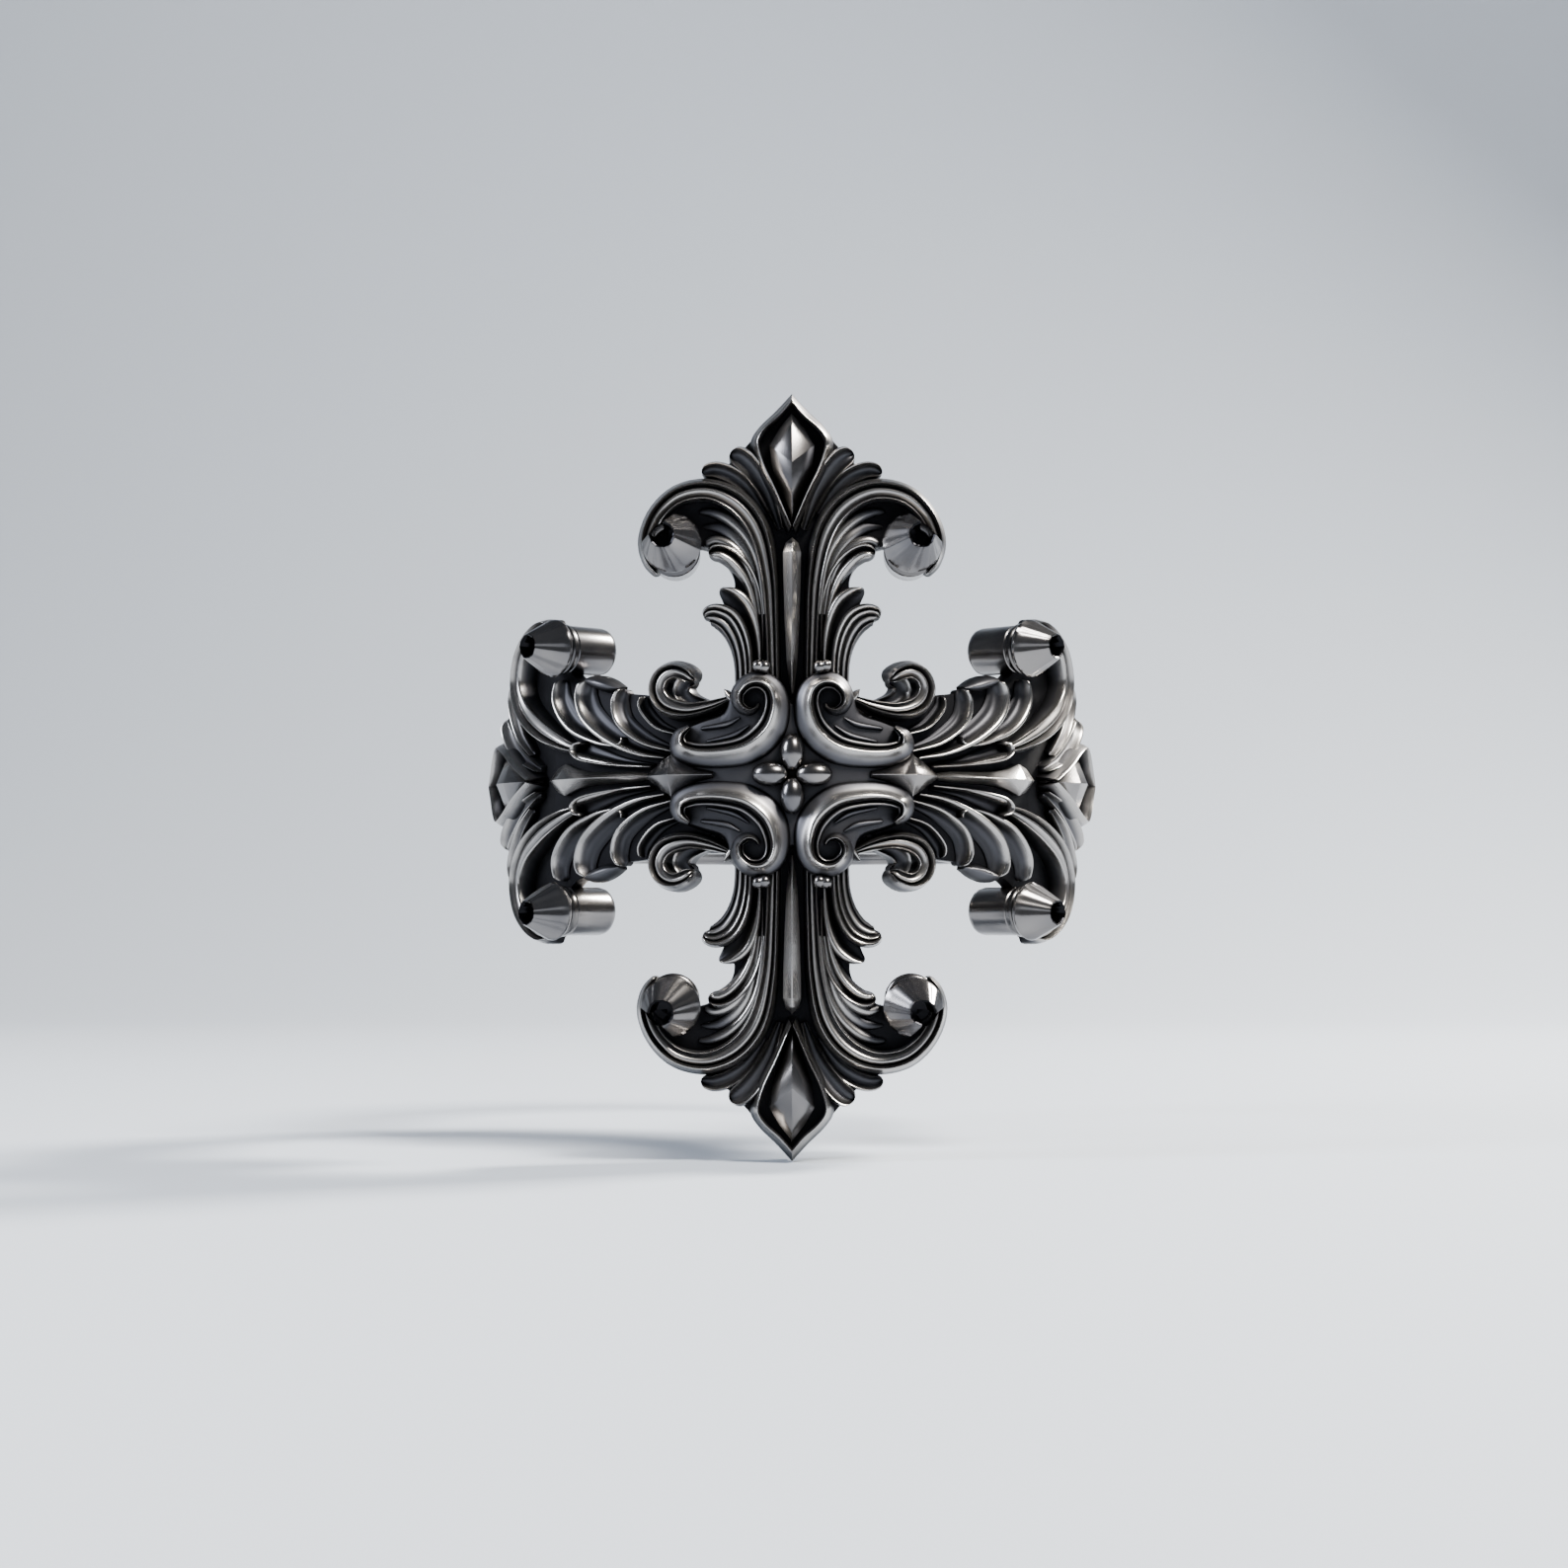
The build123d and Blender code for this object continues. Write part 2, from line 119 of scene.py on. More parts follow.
# Sections of the castings, from the inner edge of the curl to the outer: place across, height.
STRAP_SECTION = [
    (-1, 0.0), (-0.96, 0.5), (-0.89, 0.84), (-0.78, 0.90), (-0.66, 0.66), (-0.52, 0.70),
    (-0.25, 0.82), (0.02, 0.80), (0.16, 0.58), (0.28, 0.74), (0.44, 1.0), (0.60, 0.90),
    (0.80, 0.64), (0.95, 0.36), (1, 0.05),
]
CRESCENT_SECTION = [
    (-1, 0.1), (-0.7, 0.20), (-0.3, 0.26), (0.0, 0.44), (0.24, 0.80), (0.44, 0.97), (0.66, 1.0),
    (0.84, 0.86), (0.95, 0.52), (1, 0.05),
]
LEAF_SECTION = [
    (-1, 0.05), (-0.9, 0.48), (-0.66, 0.84), (-0.36, 1.0), (-0.06, 0.86), (0.14, 0.48), (0.32, 0.52),
    (0.54, 0.86), (0.74, 0.92), (0.92, 0.58), (1, 0.05),
]
FLUTED_SECTION = [
    (-1, 0.0), (-0.93, 0.42), (-0.80, 0.62), (-0.66, 0.50), (-0.48, 0.68), (-0.30, 0.74), (-0.10, 0.58),
    (0.08, 0.80), (0.24, 0.88), (0.38, 0.70), (0.52, 0.90), (0.70, 1.0), (0.88, 0.70), (1, 0.1),
]
STRAND_SECTION = [(-1, 0.05), (-0.85, 0.55), (-0.5, 0.88), (0, 1.0), (0.5, 0.88), (0.85, 0.55), (1, 0.05)]
SCOOP_SECTION = [
    (-1, 0.05), (-0.92, 0.66), (-0.80, 0.88), (-0.64, 0.66), (-0.35, 0.48), (0.1, 0.46), (0.40, 0.60),
    (0.64, 0.96), (0.80, 1.0), (0.94, 0.6), (1, 0.05),
]
VEIN_SECTION = [(-1, 0.05), (-0.6, 0.38), (0, 0.56), (0.6, 0.38), (1, 0.05)]
VOLUTE_SECTION = [
    (-1, 0.0), (-0.94, 0.45), (-0.84, 0.66), (-0.72, 0.62), (-0.60, 0.42), (-0.46, 0.62), (-0.32, 0.92),
    (-0.16, 1.0), (0.06, 0.86), (0.32, 0.64), (0.58, 0.50), (0.80, 0.38), (0.93, 0.24), (1, 0.1),
]

RUBBED_FROM = 0.42  # a casting lower than this over its plate keeps some oxide on its crest

# Centre lines: across, up, half-width, height.
UPRIGHT_STRAP = [
    (0.66, 2.9, 0.25, 0.66), (0.72, 5.6, 0.28, 0.70), (0.84, 7.5, 0.35, 0.74), (1.20, 9.1, 0.46, 0.80),
    (1.95, 10.15, 0.50, 0.84), (3.05, 10.66, 0.46, 0.84), (4.20, 10.50, 0.42, 0.84), (5.02, 9.80, 0.38, 0.82),
    (5.43, 8.85, 0.34, 0.78), (5.34, 8.05, 0.28, 0.72), (4.98, 7.50, 0.16, 0.62),
]
UPRIGHT_FLUTES = [
    [(1.02, 6.0, 0.14, 0.42), (1.24, 7.8, 0.20, 0.48), (1.66, 8.85, 0.25, 0.46), (2.32, 9.55, 0.26, 0.34),
     (3.0, 9.86, 0.20, 0.20), (3.5, 9.88, 0.10, 0.08)],
    [(1.20, 6.0, 0.12, 0.34), (1.50, 7.8, 0.22, 0.40), (1.98, 8.72, 0.28, 0.36), (2.60, 9.22, 0.24, 0.22),
     (3.1, 9.32, 0.14, 0.10), (3.4, 9.30, 0.06, 0.02)],
    [(1.30, 6.7, 0.10, 0.30), (1.72, 7.9, 0.22, 0.40), (2.25, 8.54, 0.26, 0.42), (2.84, 8.78, 0.22, 0.34),
     (3.30, 8.62, 0.16, 0.24)],
]
UPRIGHT_LEAVES = [
    [(1.16, 4.6, 0.12, 0.40), (1.30, 6.3, 0.26, 0.46), (1.62, 7.35, 0.35, 0.52), (2.12, 8.02, 0.37, 0.60),
     (2.64, 8.33, 0.34, 0.66), (3.12, 8.30, 0.26, 0.62)],
]
POINTED_LEAF = [
    (1.26, 3.6, 0.14, 0.36), (1.46, 5.2, 0.34, 0.44), (1.80, 6.16, 0.46, 0.54), (2.24, 6.64, 0.42, 0.58),
    (2.70, 6.94, 0.10, 0.52),
]
FLUTED_LEAF = [
    (1.78, 2.9, 0.34, 0.56), (1.80, 4.2, 0.37, 0.62), (1.98, 5.08, 0.44, 0.68), (2.34, 5.72, 0.50, 0.72),
    (2.78, 5.98, 0.46, 0.70), (3.12, 5.98, 0.36, 0.64), (3.28, 5.88, 0.22, 0.5),
]
TIP_LEAVES = [
    [(0.44, 9.2, 0.14, 0.50), (0.86, 10.38, 0.30, 0.56), (1.34, 11.24, 0.43, 0.64), (1.84, 11.80, 0.46, 0.72),
     (2.32, 12.04, 0.38, 0.72)],
    [(0.98, 9.8, 0.14, 0.40), (1.60, 10.70, 0.28, 0.48), (2.22, 11.20, 0.36, 0.54), (2.86, 11.42, 0.34, 0.60),
     (3.38, 11.34, 0.22, 0.54)],
]

# The same on a wing: height, distance round from the centre, half-width, height over the plate.
WING_STRAP = [
    (1.10, 9.2, 0.12, 0.34), (1.42, 10.2, 0.36, 0.62), (2.00, 11.5, 0.52, 0.78), (2.82, 12.7, 0.54, 0.82),
    (3.80, 13.22, 0.50, 0.84), (4.80, 12.98, 0.46, 0.84), (5.52, 12.28, 0.42, 0.82), (5.98, 11.4, 0.34, 0.78),
    (6.02, 10.8, 0.22, 0.70),
]
WING_LEAVES = [
    [(1.25, 7.2, 0.12, 0.44), (1.55, 8.2, 0.28, 0.54), (2.15, 9.5, 0.38, 0.60), (3.05, 10.3, 0.36, 0.60),
     (3.90, 10.35, 0.20, 0.5)],
    [(0.75, 5.0, 0.12, 0.46), (1.05, 6.2, 0.28, 0.56), (1.65, 7.5, 0.40, 0.62), (2.40, 8.5, 0.45, 0.66),
     (3.15, 8.85, 0.42, 0.66), (3.75, 8.7, 0.28, 0.6)],
    [(1.00, 4.7, 0.12, 0.46), (1.42, 5.9, 0.26, 0.54), (2.10, 6.85, 0.31, 0.58), (2.82, 7.12, 0.30, 0.58),
     (3.35, 6.95, 0.18, 0.5)],
    [(1.62, 4.5, 0.10, 0.40), (1.95, 5.35, 0.20, 0.46), (2.60, 5.98, 0.20, 0.48), (3.05, 6.05, 0.12, 0.4)],
]
WING_FOLD = [(3.40, 7.15, 0.08, 0.50), (3.52, 7.7, 0.26, 0.9), (3.68, 8.3, 0.28, 1.0), (3.80, 8.8, 0.18, 0.9)]
WING_PETAL = [
    (0.42, 5.6, 0.10, 0.46), (0.58, 7.0, 0.20, 0.50), (0.82, 8.1, 0.32, 0.56), (1.00, 8.8, 0.38, 0.62),
    (1.10, 9.2, 0.34, 0.62),
]
WING_RIMS = [
    [(0.40, 6.0, 0.05, 0.46), (0.50, 7.4, 0.08, 0.56), (0.64, 8.4, 0.10, 0.66), (0.80, 9.0, 0.12, 0.72),
     (1.06, 9.30, 0.13, 0.74), (1.32, 9.18, 0.12, 0.70), (1.38, 8.86, 0.08, 0.60)],
    [(1.52, 6.90, 0.05, 0.50), (1.38, 6.86, 0.08, 0.56), (1.26, 7.00, 0.09, 0.58), (1.30, 7.40, 0.08, 0.56),
     (1.42, 7.90, 0.05, 0.50)],
]
HOOK_STRAP = [
    (2.85, 2.40, 0.12, 0.50), (2.56, 3.2, 0.26, 0.62), (2.42, 4.1, 0.36, 0.74), (2.66, 4.92, 0.44, 0.80),
    (3.22, 5.26, 0.44, 0.82), (3.76, 5.06, 0.42, 0.84), (3.98, 4.58, 0.38, 0.84), (3.84, 4.08, 0.34, 0.82),
    (3.56, 3.78, 0.28, 0.76),
]
HOOK_WEB = [
    (2.70, 3.3, 0.14, 0.40), (2.84, 4.0, 0.34, 0.42), (3.20, 4.34, 0.42, 0.40), (3.52, 4.1, 0.40, 0.42),
    (3.48, 3.82, 0.26, 0.5),
]
HOOK_THORN = [(2.80, 2.30, 0.18, 0.5), (2.98, 2.46, 0.15, 0.5), (3.22, 2.60, 0.03, 0.45)]
CENTRE_STRAP = [
    (3.84, 1.78, 0.10, 0.40), (4.20, 1.48, 0.26, 0.50), (4.18, 1.02, 0.38, 0.56), (3.58, 0.76, 0.44, 0.58),
    (2.60, 0.74, 0.50, 0.58), (1.60, 0.96, 0.56, 0.60), (0.84, 1.60, 0.58, 0.62), (0.56, 2.45, 0.50, 0.64),
    (0.68, 3.12, 0.42, 0.66), (1.10, 3.46, 0.36, 0.68), (1.62, 3.42, 0.32, 0.70), (1.98, 3.05, 0.28, 0.70),
    (1.98, 2.60, 0.22, 0.68), (1.66, 2.34, 0.17, 0.64), (1.34, 2.42, 0.11, 0.58), (1.22, 2.62, 0.05, 0.5),
]
CENTRE_VEINS = [
    [(1.95, 2.10, 0.06, 0.30), (2.45, 1.86, 0.13, 0.38), (3.40, 1.72, 0.08, 0.26)],
    [(1.60, 1.80, 0.06, 0.28), (2.20, 1.44, 0.14, 0.34), (3.20, 1.22, 0.08, 0.24)],
]

# Frame at the end of an arm: paired points of its outer and inner edge, from the foot to the tip.
FRAME_EDGES = [
    ((0.16, 9.0), (0.02, 9.30)), ((0.80, 10.4), (0.54, 10.55)), ((1.28, 11.35), (0.96, 11.45)),
    ((1.53, 12.15), (1.20, 12.20)), ((1.52, 12.62), (1.18, 12.56)), ((1.18, 13.12), (0.90, 12.94)),
    ((0.60, 13.68), (0.44, 13.34)), ((0.0, 14.33), (0.0, 13.84)),
]
FRAME_SECTION = [(0, 0.15), (0.22, 0.52), (0.5, 0.80), (0.72, 0.95), (0.86, 1.0), (0.96, 0.82), (1, 0.4)]
FRAME_RISE = 0.9

# Faceted bars: rows of left edge, ridge and right edge, each as across, up, height.
TIP_SPEAR = [
    ((0.0, 13.56, 0.42), (0.0, 13.56, 0.44)),
    ((0.46, 12.98, 0.50), (0.0, 12.70, 0.80)),
    ((0.84, 12.32, 0.50), (0.0, 11.60, 1.08)),
    ((0.78, 11.62, 0.50), (0.0, 10.95, 1.04)),
    ((0.54, 10.85, 0.46), (0.0, 10.40, 0.96)),
    ((0.26, 9.95, 0.44), (0.0, 9.80, 0.82)),
    ((0.04, 9.15, 0.40), (0.0, 9.15, 0.56)),
]
LANCE = [
    ((0.06, 3.0, 0.60), (0.0, 3.0, 0.90)),
    ((0.20, 4.2, 0.64), (0.0, 4.2, 0.94)),
    ((0.28, 5.8, 0.66), (0.0, 5.8, 0.98)),
    ((0.33, 7.4, 0.66), (0.0, 7.4, 0.98)),
    ((0.34, 8.3, 0.62), (0.0, 8.3, 0.94)),
    ((0.24, 8.66, 0.50), (0.0, 8.6, 0.76)),
    ((0.0, 8.88, 0.40), (0.0, 8.88, 0.46)),
]
WING_RIDGE = [
    ((0.10, 5.55, 0.40), (0.0, 5.55, 0.70)),
    ((0.20, 6.4, 0.36), (0.0, 6.4, 0.72)),
    ((0.26, 8.6, 0.34), (0.0, 8.6, 0.72)),
    ((0.40, 9.4, 0.28), (0.0, 9.4, 0.70)),
    ((0.62, 10.1, 0.26), (0.0, 10.1, 0.66)),
    ((0.46, 10.6, 0.24), (0.0, 10.6, 0.52)),
    ((0.0, 11.1, 0.26), (0.0, 11.1, 0.32)),
]
COLLAR_SPEAR = [
    ((0.12, 2.9, 0.80), (0.0, 2.9, 1.00)),
    ((0.24, 3.5, 0.80), (0.0, 3.5, 1.12)),
    ((0.50, 4.1, 0.78), (0.0, 4.1, 1.24)),
    ((0.80, 4.58, 0.72), (0.0, 4.48, 1.36)),
    ((0.50, 5.08, 0.64), (0.0, 5.08, 1.04)),
    ((0.0, 5.80, 0.52), (0.0, 5.80, 0.58)),
]

# Boss under the centre scrolls: half its height at each place across.
BOSS_EDGE = [
    (0.0, 2.75), (0.8, 3.3), (1.6, 3.6), (2.2, 3.35), (2.5, 2.4), (3.4, 2.05), (4.2, 1.7), (4.5, 1.2), (4.6, 0.3),
]
BOSS_SECTION = [(-1, 0.1), (-0.96, 0.5), (-0.85, 0.72), (0, 0.74), (0.85, 0.72), (0.96, 0.5), (1, 0.1)]

# Beads and grains: places, half-sizes and heights over the face.
BEAD_OUT = 0.80
BEAD_SIZE = (0.70, 0.47, 0.52)
BEAD_RISE = 0.92
GRAIN_LOBES = [(1.02, 3.98, 0.24), (1.26, 4.02, 0.22)]
GRAIN_RISE = 0.95

# Turned posts: where they stand on the upright and round a wing, and how far a cap leans over.
POST_AT = (4.40, 8.35)
CAP_STEP = (0.08, 0.26)  # how far its cap's foot stands off its shank
CAP_LEAN = (0.40, 0.44)
WING_POST_AT = (10.1, 5.06)
WING_CAP_LEAN = (0.40, 0.05)
CHANNEL_AT = radians(48)  # the side on which the upright's straps run their hollow into the eye
CHANNEL_HALF, CHANNEL_SIDE = radians(42), radians(10)  # half its width, and how wide its sides are
NO_CHANNEL = radians(-20)  # a wing's caps are left whole
CHANNEL_FLOOR = 11.95
CAP_WHOLE, EYE_PIN = 0.05, 0.1  # how far up a cap's foot is left whole, and the middle of its eye that is too
CAP_FACETS = ((5, 0.020, 0.6), (11, 0.014, 1.9), (17, 0.009, 0.2))  # waves left by the file: count, depth, start
POST_RINGS = [
    (0.0, 10.20), (0.60, 10.21), (0.78, 10.26), (0.89, 10.38), (0.93, 10.56), (0.93, 11.95), (0.90, 11.98),
    (0.90, 12.02), (0.96, 12.06), (0.98, 12.12), (0.98, 12.24), (0.94, 12.30), (0.88, 12.34), (0.88, 12.38),
    (1.00, 12.42), (1.08, 12.47), (1.11, 12.54), (1.10, 12.60),
]
SHANK_FROM = 11  # height at which the straight shank has begun
NECK_FROM, NECK_WORN = 11.96, 0.5  # the neck's ring and grooves keep half their oxide
STEP_FROM, STEP_TO = 12.34, 12.42  # heights between which the step lies
CAP_TOP, CAP_RIM = 13.48, 0.50  # height of the eye's rim, and its radius
EYE_RINGS = [(0.46, 13.53), (0.41, 13.50), (0.38, 13.40), (0.36, 12.95), (0.0, 12.9)]
WING_BACK_SINK = 0.2  # a wing's posts reach this much nearer the finger


def linear(code):
    """Linear colour of an sRGB hex code."""
    values = [int(code[i:i + 2], 16) / 255 for i in (0, 2, 4)]
    return [v / 12.92 if v <= 0.04045 else ((v + 0.055) / 1.055) ** 2.4 for v in values]


class CrossRingSizes(bpy.types.PropertyGroup):
    """Sizes that change how the castings are cut."""

    face: FloatProperty(
        name="Face", description="Distance of the plates' face from the finger's axis",
        default=FACE_R, unit="LENGTH", precision=5,
    )
    relief: FloatProperty(
        name="Relief", description="How strongly the leaves and straps stand out, as a part of their full height",
        default=1.0, min=0.3, max=1.2,
    )
    pitch: FloatProperty(
        name="Pitch", description="Spacing of the rows along each leaf and strap",
        default=0.11 * MM, unit="LENGTH", precision=5,
    )
    edge: FloatProperty(
        name="Edge", description="Width to which sharp edges are broken",
        default=0.025 * MM, unit="LENGTH", precision=5,
    )


class CrossRingFinish(bpy.types.PropertyGroup):
    """Colours of the silver and of the stage."""

    bright: FloatVectorProperty(
        name="Bright silver", description="Colour of the silver where it is rubbed clean",
        subtype="COLOR", size=3, default=linear("9c9996"),
    )
    grey: FloatVectorProperty(
        name="Grey silver", description="Colour of the silver on slopes, where the oxide is thinned",
        subtype="COLOR", size=3, default=linear("545458"),
    )
    turned: FloatVectorProperty(
        name="Turned silver", description="Colour of the polished silver of the turned posts and the hoop",
        subtype="COLOR", size=3, default=linear("7a7775"),
    )
    tarnish: FloatVectorProperty(
        name="Tarnish", description="Colour of the tarnished clouds on the turned posts and the hoop",
        subtype="COLOR", size=3, default=linear("5c5b5d"),
    )
    oxide: FloatVectorProperty(
        name="Oxide", description="Colour of the oxide left in the hollows",
        subtype="COLOR", size=3, default=linear("161618"),
    )
    floor: FloatVectorProperty(
        name="Floor", description="Colour of the paper that the ring stands on",
        subtype="COLOR", size=3, default=linear("a4abb5"),
    )


def deselect():
    """Leaves nothing selected, so that an operator acts only on what is made next."""
    bpy.ops.object.select_all(action="DESELECT")


def choose(piece):
    """Makes a piece the only selected one, and the active one."""
    deselect()
    piece.select_set(True)
    bpy.context.view_layer.objects.active = piece


def in_edit_mode(piece, *steps):
    """Runs edit-mode operators on all of a piece's mesh; each step is an operator and its settings."""
    choose(piece)
    bpy.ops.object.mode_set(mode="EDIT")
    bpy.ops.mesh.select_all(action="SELECT")
    for operator, settings in steps:
        operator(**settings)
    bpy.ops.object.mode_set(mode="OBJECT")


def close_up(piece):
    """Merges doubled points and turns every face outwards."""
    in_edit_mode(
        piece,
        (bpy.ops.mesh.remove_doubles, {"threshold": 0.002 * MM}),
        (bpy.ops.mesh.normals_make_consistent, {"inside": False}),
    )


def smooth(piece, degrees_apart):
    """Shades a piece smooth, but for edges sharper than this."""
    choose(piece)
    bpy.ops.object.shade_smooth_by_angle(angle=radians(degrees_apart))


def modify(piece, kind, **settings):
    """Adds a modifier to a piece and applies it."""
    choose(piece)
    modifier = piece.modifiers.new(kind.title(), kind)
    for name, value in settings.items():
        setattr(modifier, name, value)
    bpy.ops.object.modifier_apply(modifier=modifier.name)


def flat(across, up, height):
    """A pattern point on the upright's flat face."""
    sizes = bpy.context.scene.cross_ring_sizes
    return Vector((across * MM, -(sizes.face + height * MM * sizes.relief), up * MM))


def bent(up, round_ring, height):
    """A pattern point on a wing, which follows the ring round from the cross's centre."""
    sizes = bpy.context.scene.cross_ring_sizes
    angle = round_ring * MM / PATTERN_R
    radius = sizes.face + height * MM * sizes.relief
    return Vector((radius * sin(angle), -radius * cos(angle), up * MM))


def crowned(across, up, height):
    """A pattern point on the boss, which is bent to the ring and not spread."""
    sizes = bpy.context.scene.cross_ring_sizes
    radius = sizes.face + height * MM
    return Vector((across * MM, -sqrt(radius ** 2 - (across * MM) ** 2), up * MM))


def on_wing(points):
    """The upright's pattern, moved out and spread to its place on a wing."""
    return [(across * WING_SPREAD, up + WING_SHIFT, *rest) for across, up, *rest in points]


def smooth_line(points, steps):
    """A smooth line through points of any size, with this many steps from each to the next."""
    before = [2 * a - b for a, b in zip(points[0], points[1])]
    after = [2 * a - b for a, b in zip(points[-1], points[-2])]
    run = [before, *points, after]
    line = []
    for four in zip(run, run[1:], run[2:], run[3:]):
        for t in (step / steps for step in range(steps)):
            line.append([
                b + 0.5 * t * (c - a + t * (2 * a - 5 * b + 4 * c - d + t * (3 * (b - c) + d - a)))
                for a, b, c, d in zip(*four)
            ])
    return [*line, list(points[-1])]


def spaced(line, pitch, cap):
    """A line's points at an even spacing, which closes up over the cap at its end."""
    reach = [0, *accumulate(hypot(b[0] - a[0], b[1] - a[1]) for a, b in zip(line, line[1:]))]
    body = reach[-1] - cap
    rows = ceil(body / pitch)
    places = [body * i / rows for i in range(rows)]
    places += [body + cap * sin(i * pi / (2 * (CAP_ROWS - 1))) for i in range(CAP_ROWS)]
    found, i = [], 0
    for place in places:
        while i < len(reach) - 2 and reach[i + 1] < place:
            i += 1
        t = min(1, (place - reach[i]) / (reach[i + 1] - reach[i]))
        found.append(([a + t * (b - a) for a, b in zip(line[i], line[i + 1])], reach[-1] - place))
    return found


def strap(path, section):
    """Rows of a casting that follows a centre line with this section and a rounded end."""
    line = smooth_line(path, LINE_STEPS)
    cap = line[-1][2]
    pitch = bpy.context.scene.cross_ring_sizes.pitch / MM
    across_section = smooth_line(section, SECTION_STEPS)
    stations = spaced(line, pitch, cap)
    rows = []
    for i, ((x, y, half, height), left) in enumerate(stations):
        (ahead, _), (behind, _) = stations[min(i + 1, len(stations) - 1)], stations[max(i - 1, 0)]
        along = Vector((ahead[0] - behind[0], ahead[1] - behind[1])).normalized()
        closing = sqrt(max(0, 1 - (1 - left / cap) ** 2)) if left < cap else 1
        wide = half * closing
        tall = height * (CAP_FOOT + (1 - CAP_FOOT) * closing)
        rubbed = min(1, tall / RUBBED_FROM)
        rows.append([
            (x - along.y * side * wide, y + along.x * side * wide, tall * high, high * rubbed)
            for side, high in across_section
        ])
    return rows


def bar(halves):
    """Rows of a faceted bar, from matched points of its edge and its ridge."""
    return [
        [(-across, *rest, FACET_WORN), (*ridge, 1.0), (across, *rest, FACET_WORN)]
        for (across, *rest), ridge in halves
    ]


def slab(name, rows, lay):
    """A closed casting: a grid pulled up off its underside, whose top is shaped by rows of points."""
    long, wide = len(rows) - 1, len(rows[0]) - 1
    deselect()
    bpy.ops.mesh.primitive_grid_add(x_subdivisions=long, y_subdivisions=wide, size=1)
    piece = bpy.context.object
    in_edit_mode(
        piece, (bpy.ops.mesh.extrude_region_move, {"TRANSFORM_OT_translate": {"value": (0, 0, 1)}})
    )
    rise = piece.data.attributes.new("rise", "FLOAT", "POINT")
    for vertex in piece.data.vertices:
        x, y, height, worn = rows[round((vertex.co.x + 0.5) * long)][round((vertex.co.y + 0.5) * wide)]
        on_top = vertex.co.z > 0.5
        vertex.co = lay(x, y, height if on_top else SINK)
        rise.data[vertex.index].value = worn if on_top else 0
    piece.name = piece.data.name = name
    close_up(piece)
    return piece


def joined(name, parts):
    """Several closed shapes as one piece."""
    choose(parts[0])
    for part in parts[1:]:
        part.select_set(True)
    if len(parts) > 1:
        bpy.ops.object.join()
    parts[0].name = parts[0].data.name = name
    return parts[0]


def casting(name, shapes, lay):
    """One casting from several shapes, each its own rows of points, laid on the ring."""
    piece = joined(name, [slab(name, rows, lay) for rows in shapes])
    smooth(piece, 50)
    return piece


def faceted(piece):
    """Breaks a faceted piece's edges, and leaves its facets flat."""
    modify(piece, "BEVEL", width=bpy.context.scene.cross_ring_sizes.edge, segments=2, limit_method="ANGLE",
           angle_limit=radians(14))
    smooth(piece, 20)
    return piece


def lathe(name, rings, place, segments=64, solid=True):
    """A turned shape: a circle extruded ring by ring, each then put at its own radius and height."""
    deselect()
    bpy.ops.mesh.primitive_circle_add(vertices=segments, radius=1, fill_type="NGON" if solid else "NOTHING")
    piece = bpy.context.object
    extrude = (
        bpy.ops.mesh.extrude_region_move,
        {"TRANSFORM_OT_translate": {"value": (0, 0, 1)}},
    )
    in_edit_mode(piece, *[extrude] * (len(rings) - 1))
    rise = piece.data.attributes.new("rise", "FLOAT", "POINT")
    for vertex in piece.data.vertices:
        radius, height, worn = rings[round(vertex.co.z)]
        vertex.co = place(vertex.co.x * radius, vertex.co.y * radius, height)
        rise.data[vertex.index].value = worn
    piece.name = piece.data.name = name
    close_up(piece)
    return piece


def mirrored(original, name, across, up):
    """A copy of a piece with its own mesh, mirrored across or up and turned right side out."""
    copy = original.copy()
    copy.data = original.data.copy()
    copy.name = copy.data.name = name
    bpy.context.collection.objects.link(copy)
    copy.data.transform(Matrix.Diagonal((across, 1, up, 1)))
    if across * up < 0:
        copy.data.flip_normals()
    return copy


def place_all(original, node_form, places, material):
    """Copies a piece to each of its places, names every copy after its node, gives it its body and finish, and
    hides that node.
    """
    for place, (across, up) in places.items():
        node = node_form.format(place)
        copy = mirrored(original, f"cast_{node}", across, up)
        finish_piece(copy, node, material)
    bpy.data.objects.remove(original)


def finish_piece(piece, node, material):
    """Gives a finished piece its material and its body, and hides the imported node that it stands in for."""
    piece.data.materials.clear()
    piece.data.materials.append(material)
    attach(piece, "root")
    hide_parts(node)


def add_node(material, kind, links=None, **settings):
    """Adds a node to a material, with its settings, and with its inputs linked or set."""
    node = material.node_tree.nodes.new(kind)
    for name, value in settings.items():
        setattr(node, name, value)
    for socket, source in (links or {}).items():
        if isinstance(source, bpy.types.NodeSocket):
            material.node_tree.links.new(source, node.inputs[socket])
        else:
            node.inputs[socket].default_value = source
    return node


def new_material(name):
    """An empty node material."""
    material = bpy.data.materials.get(name) or bpy.data.materials.new(name)
    material.use_nodes = True
    material.node_tree.nodes.clear()
    return material


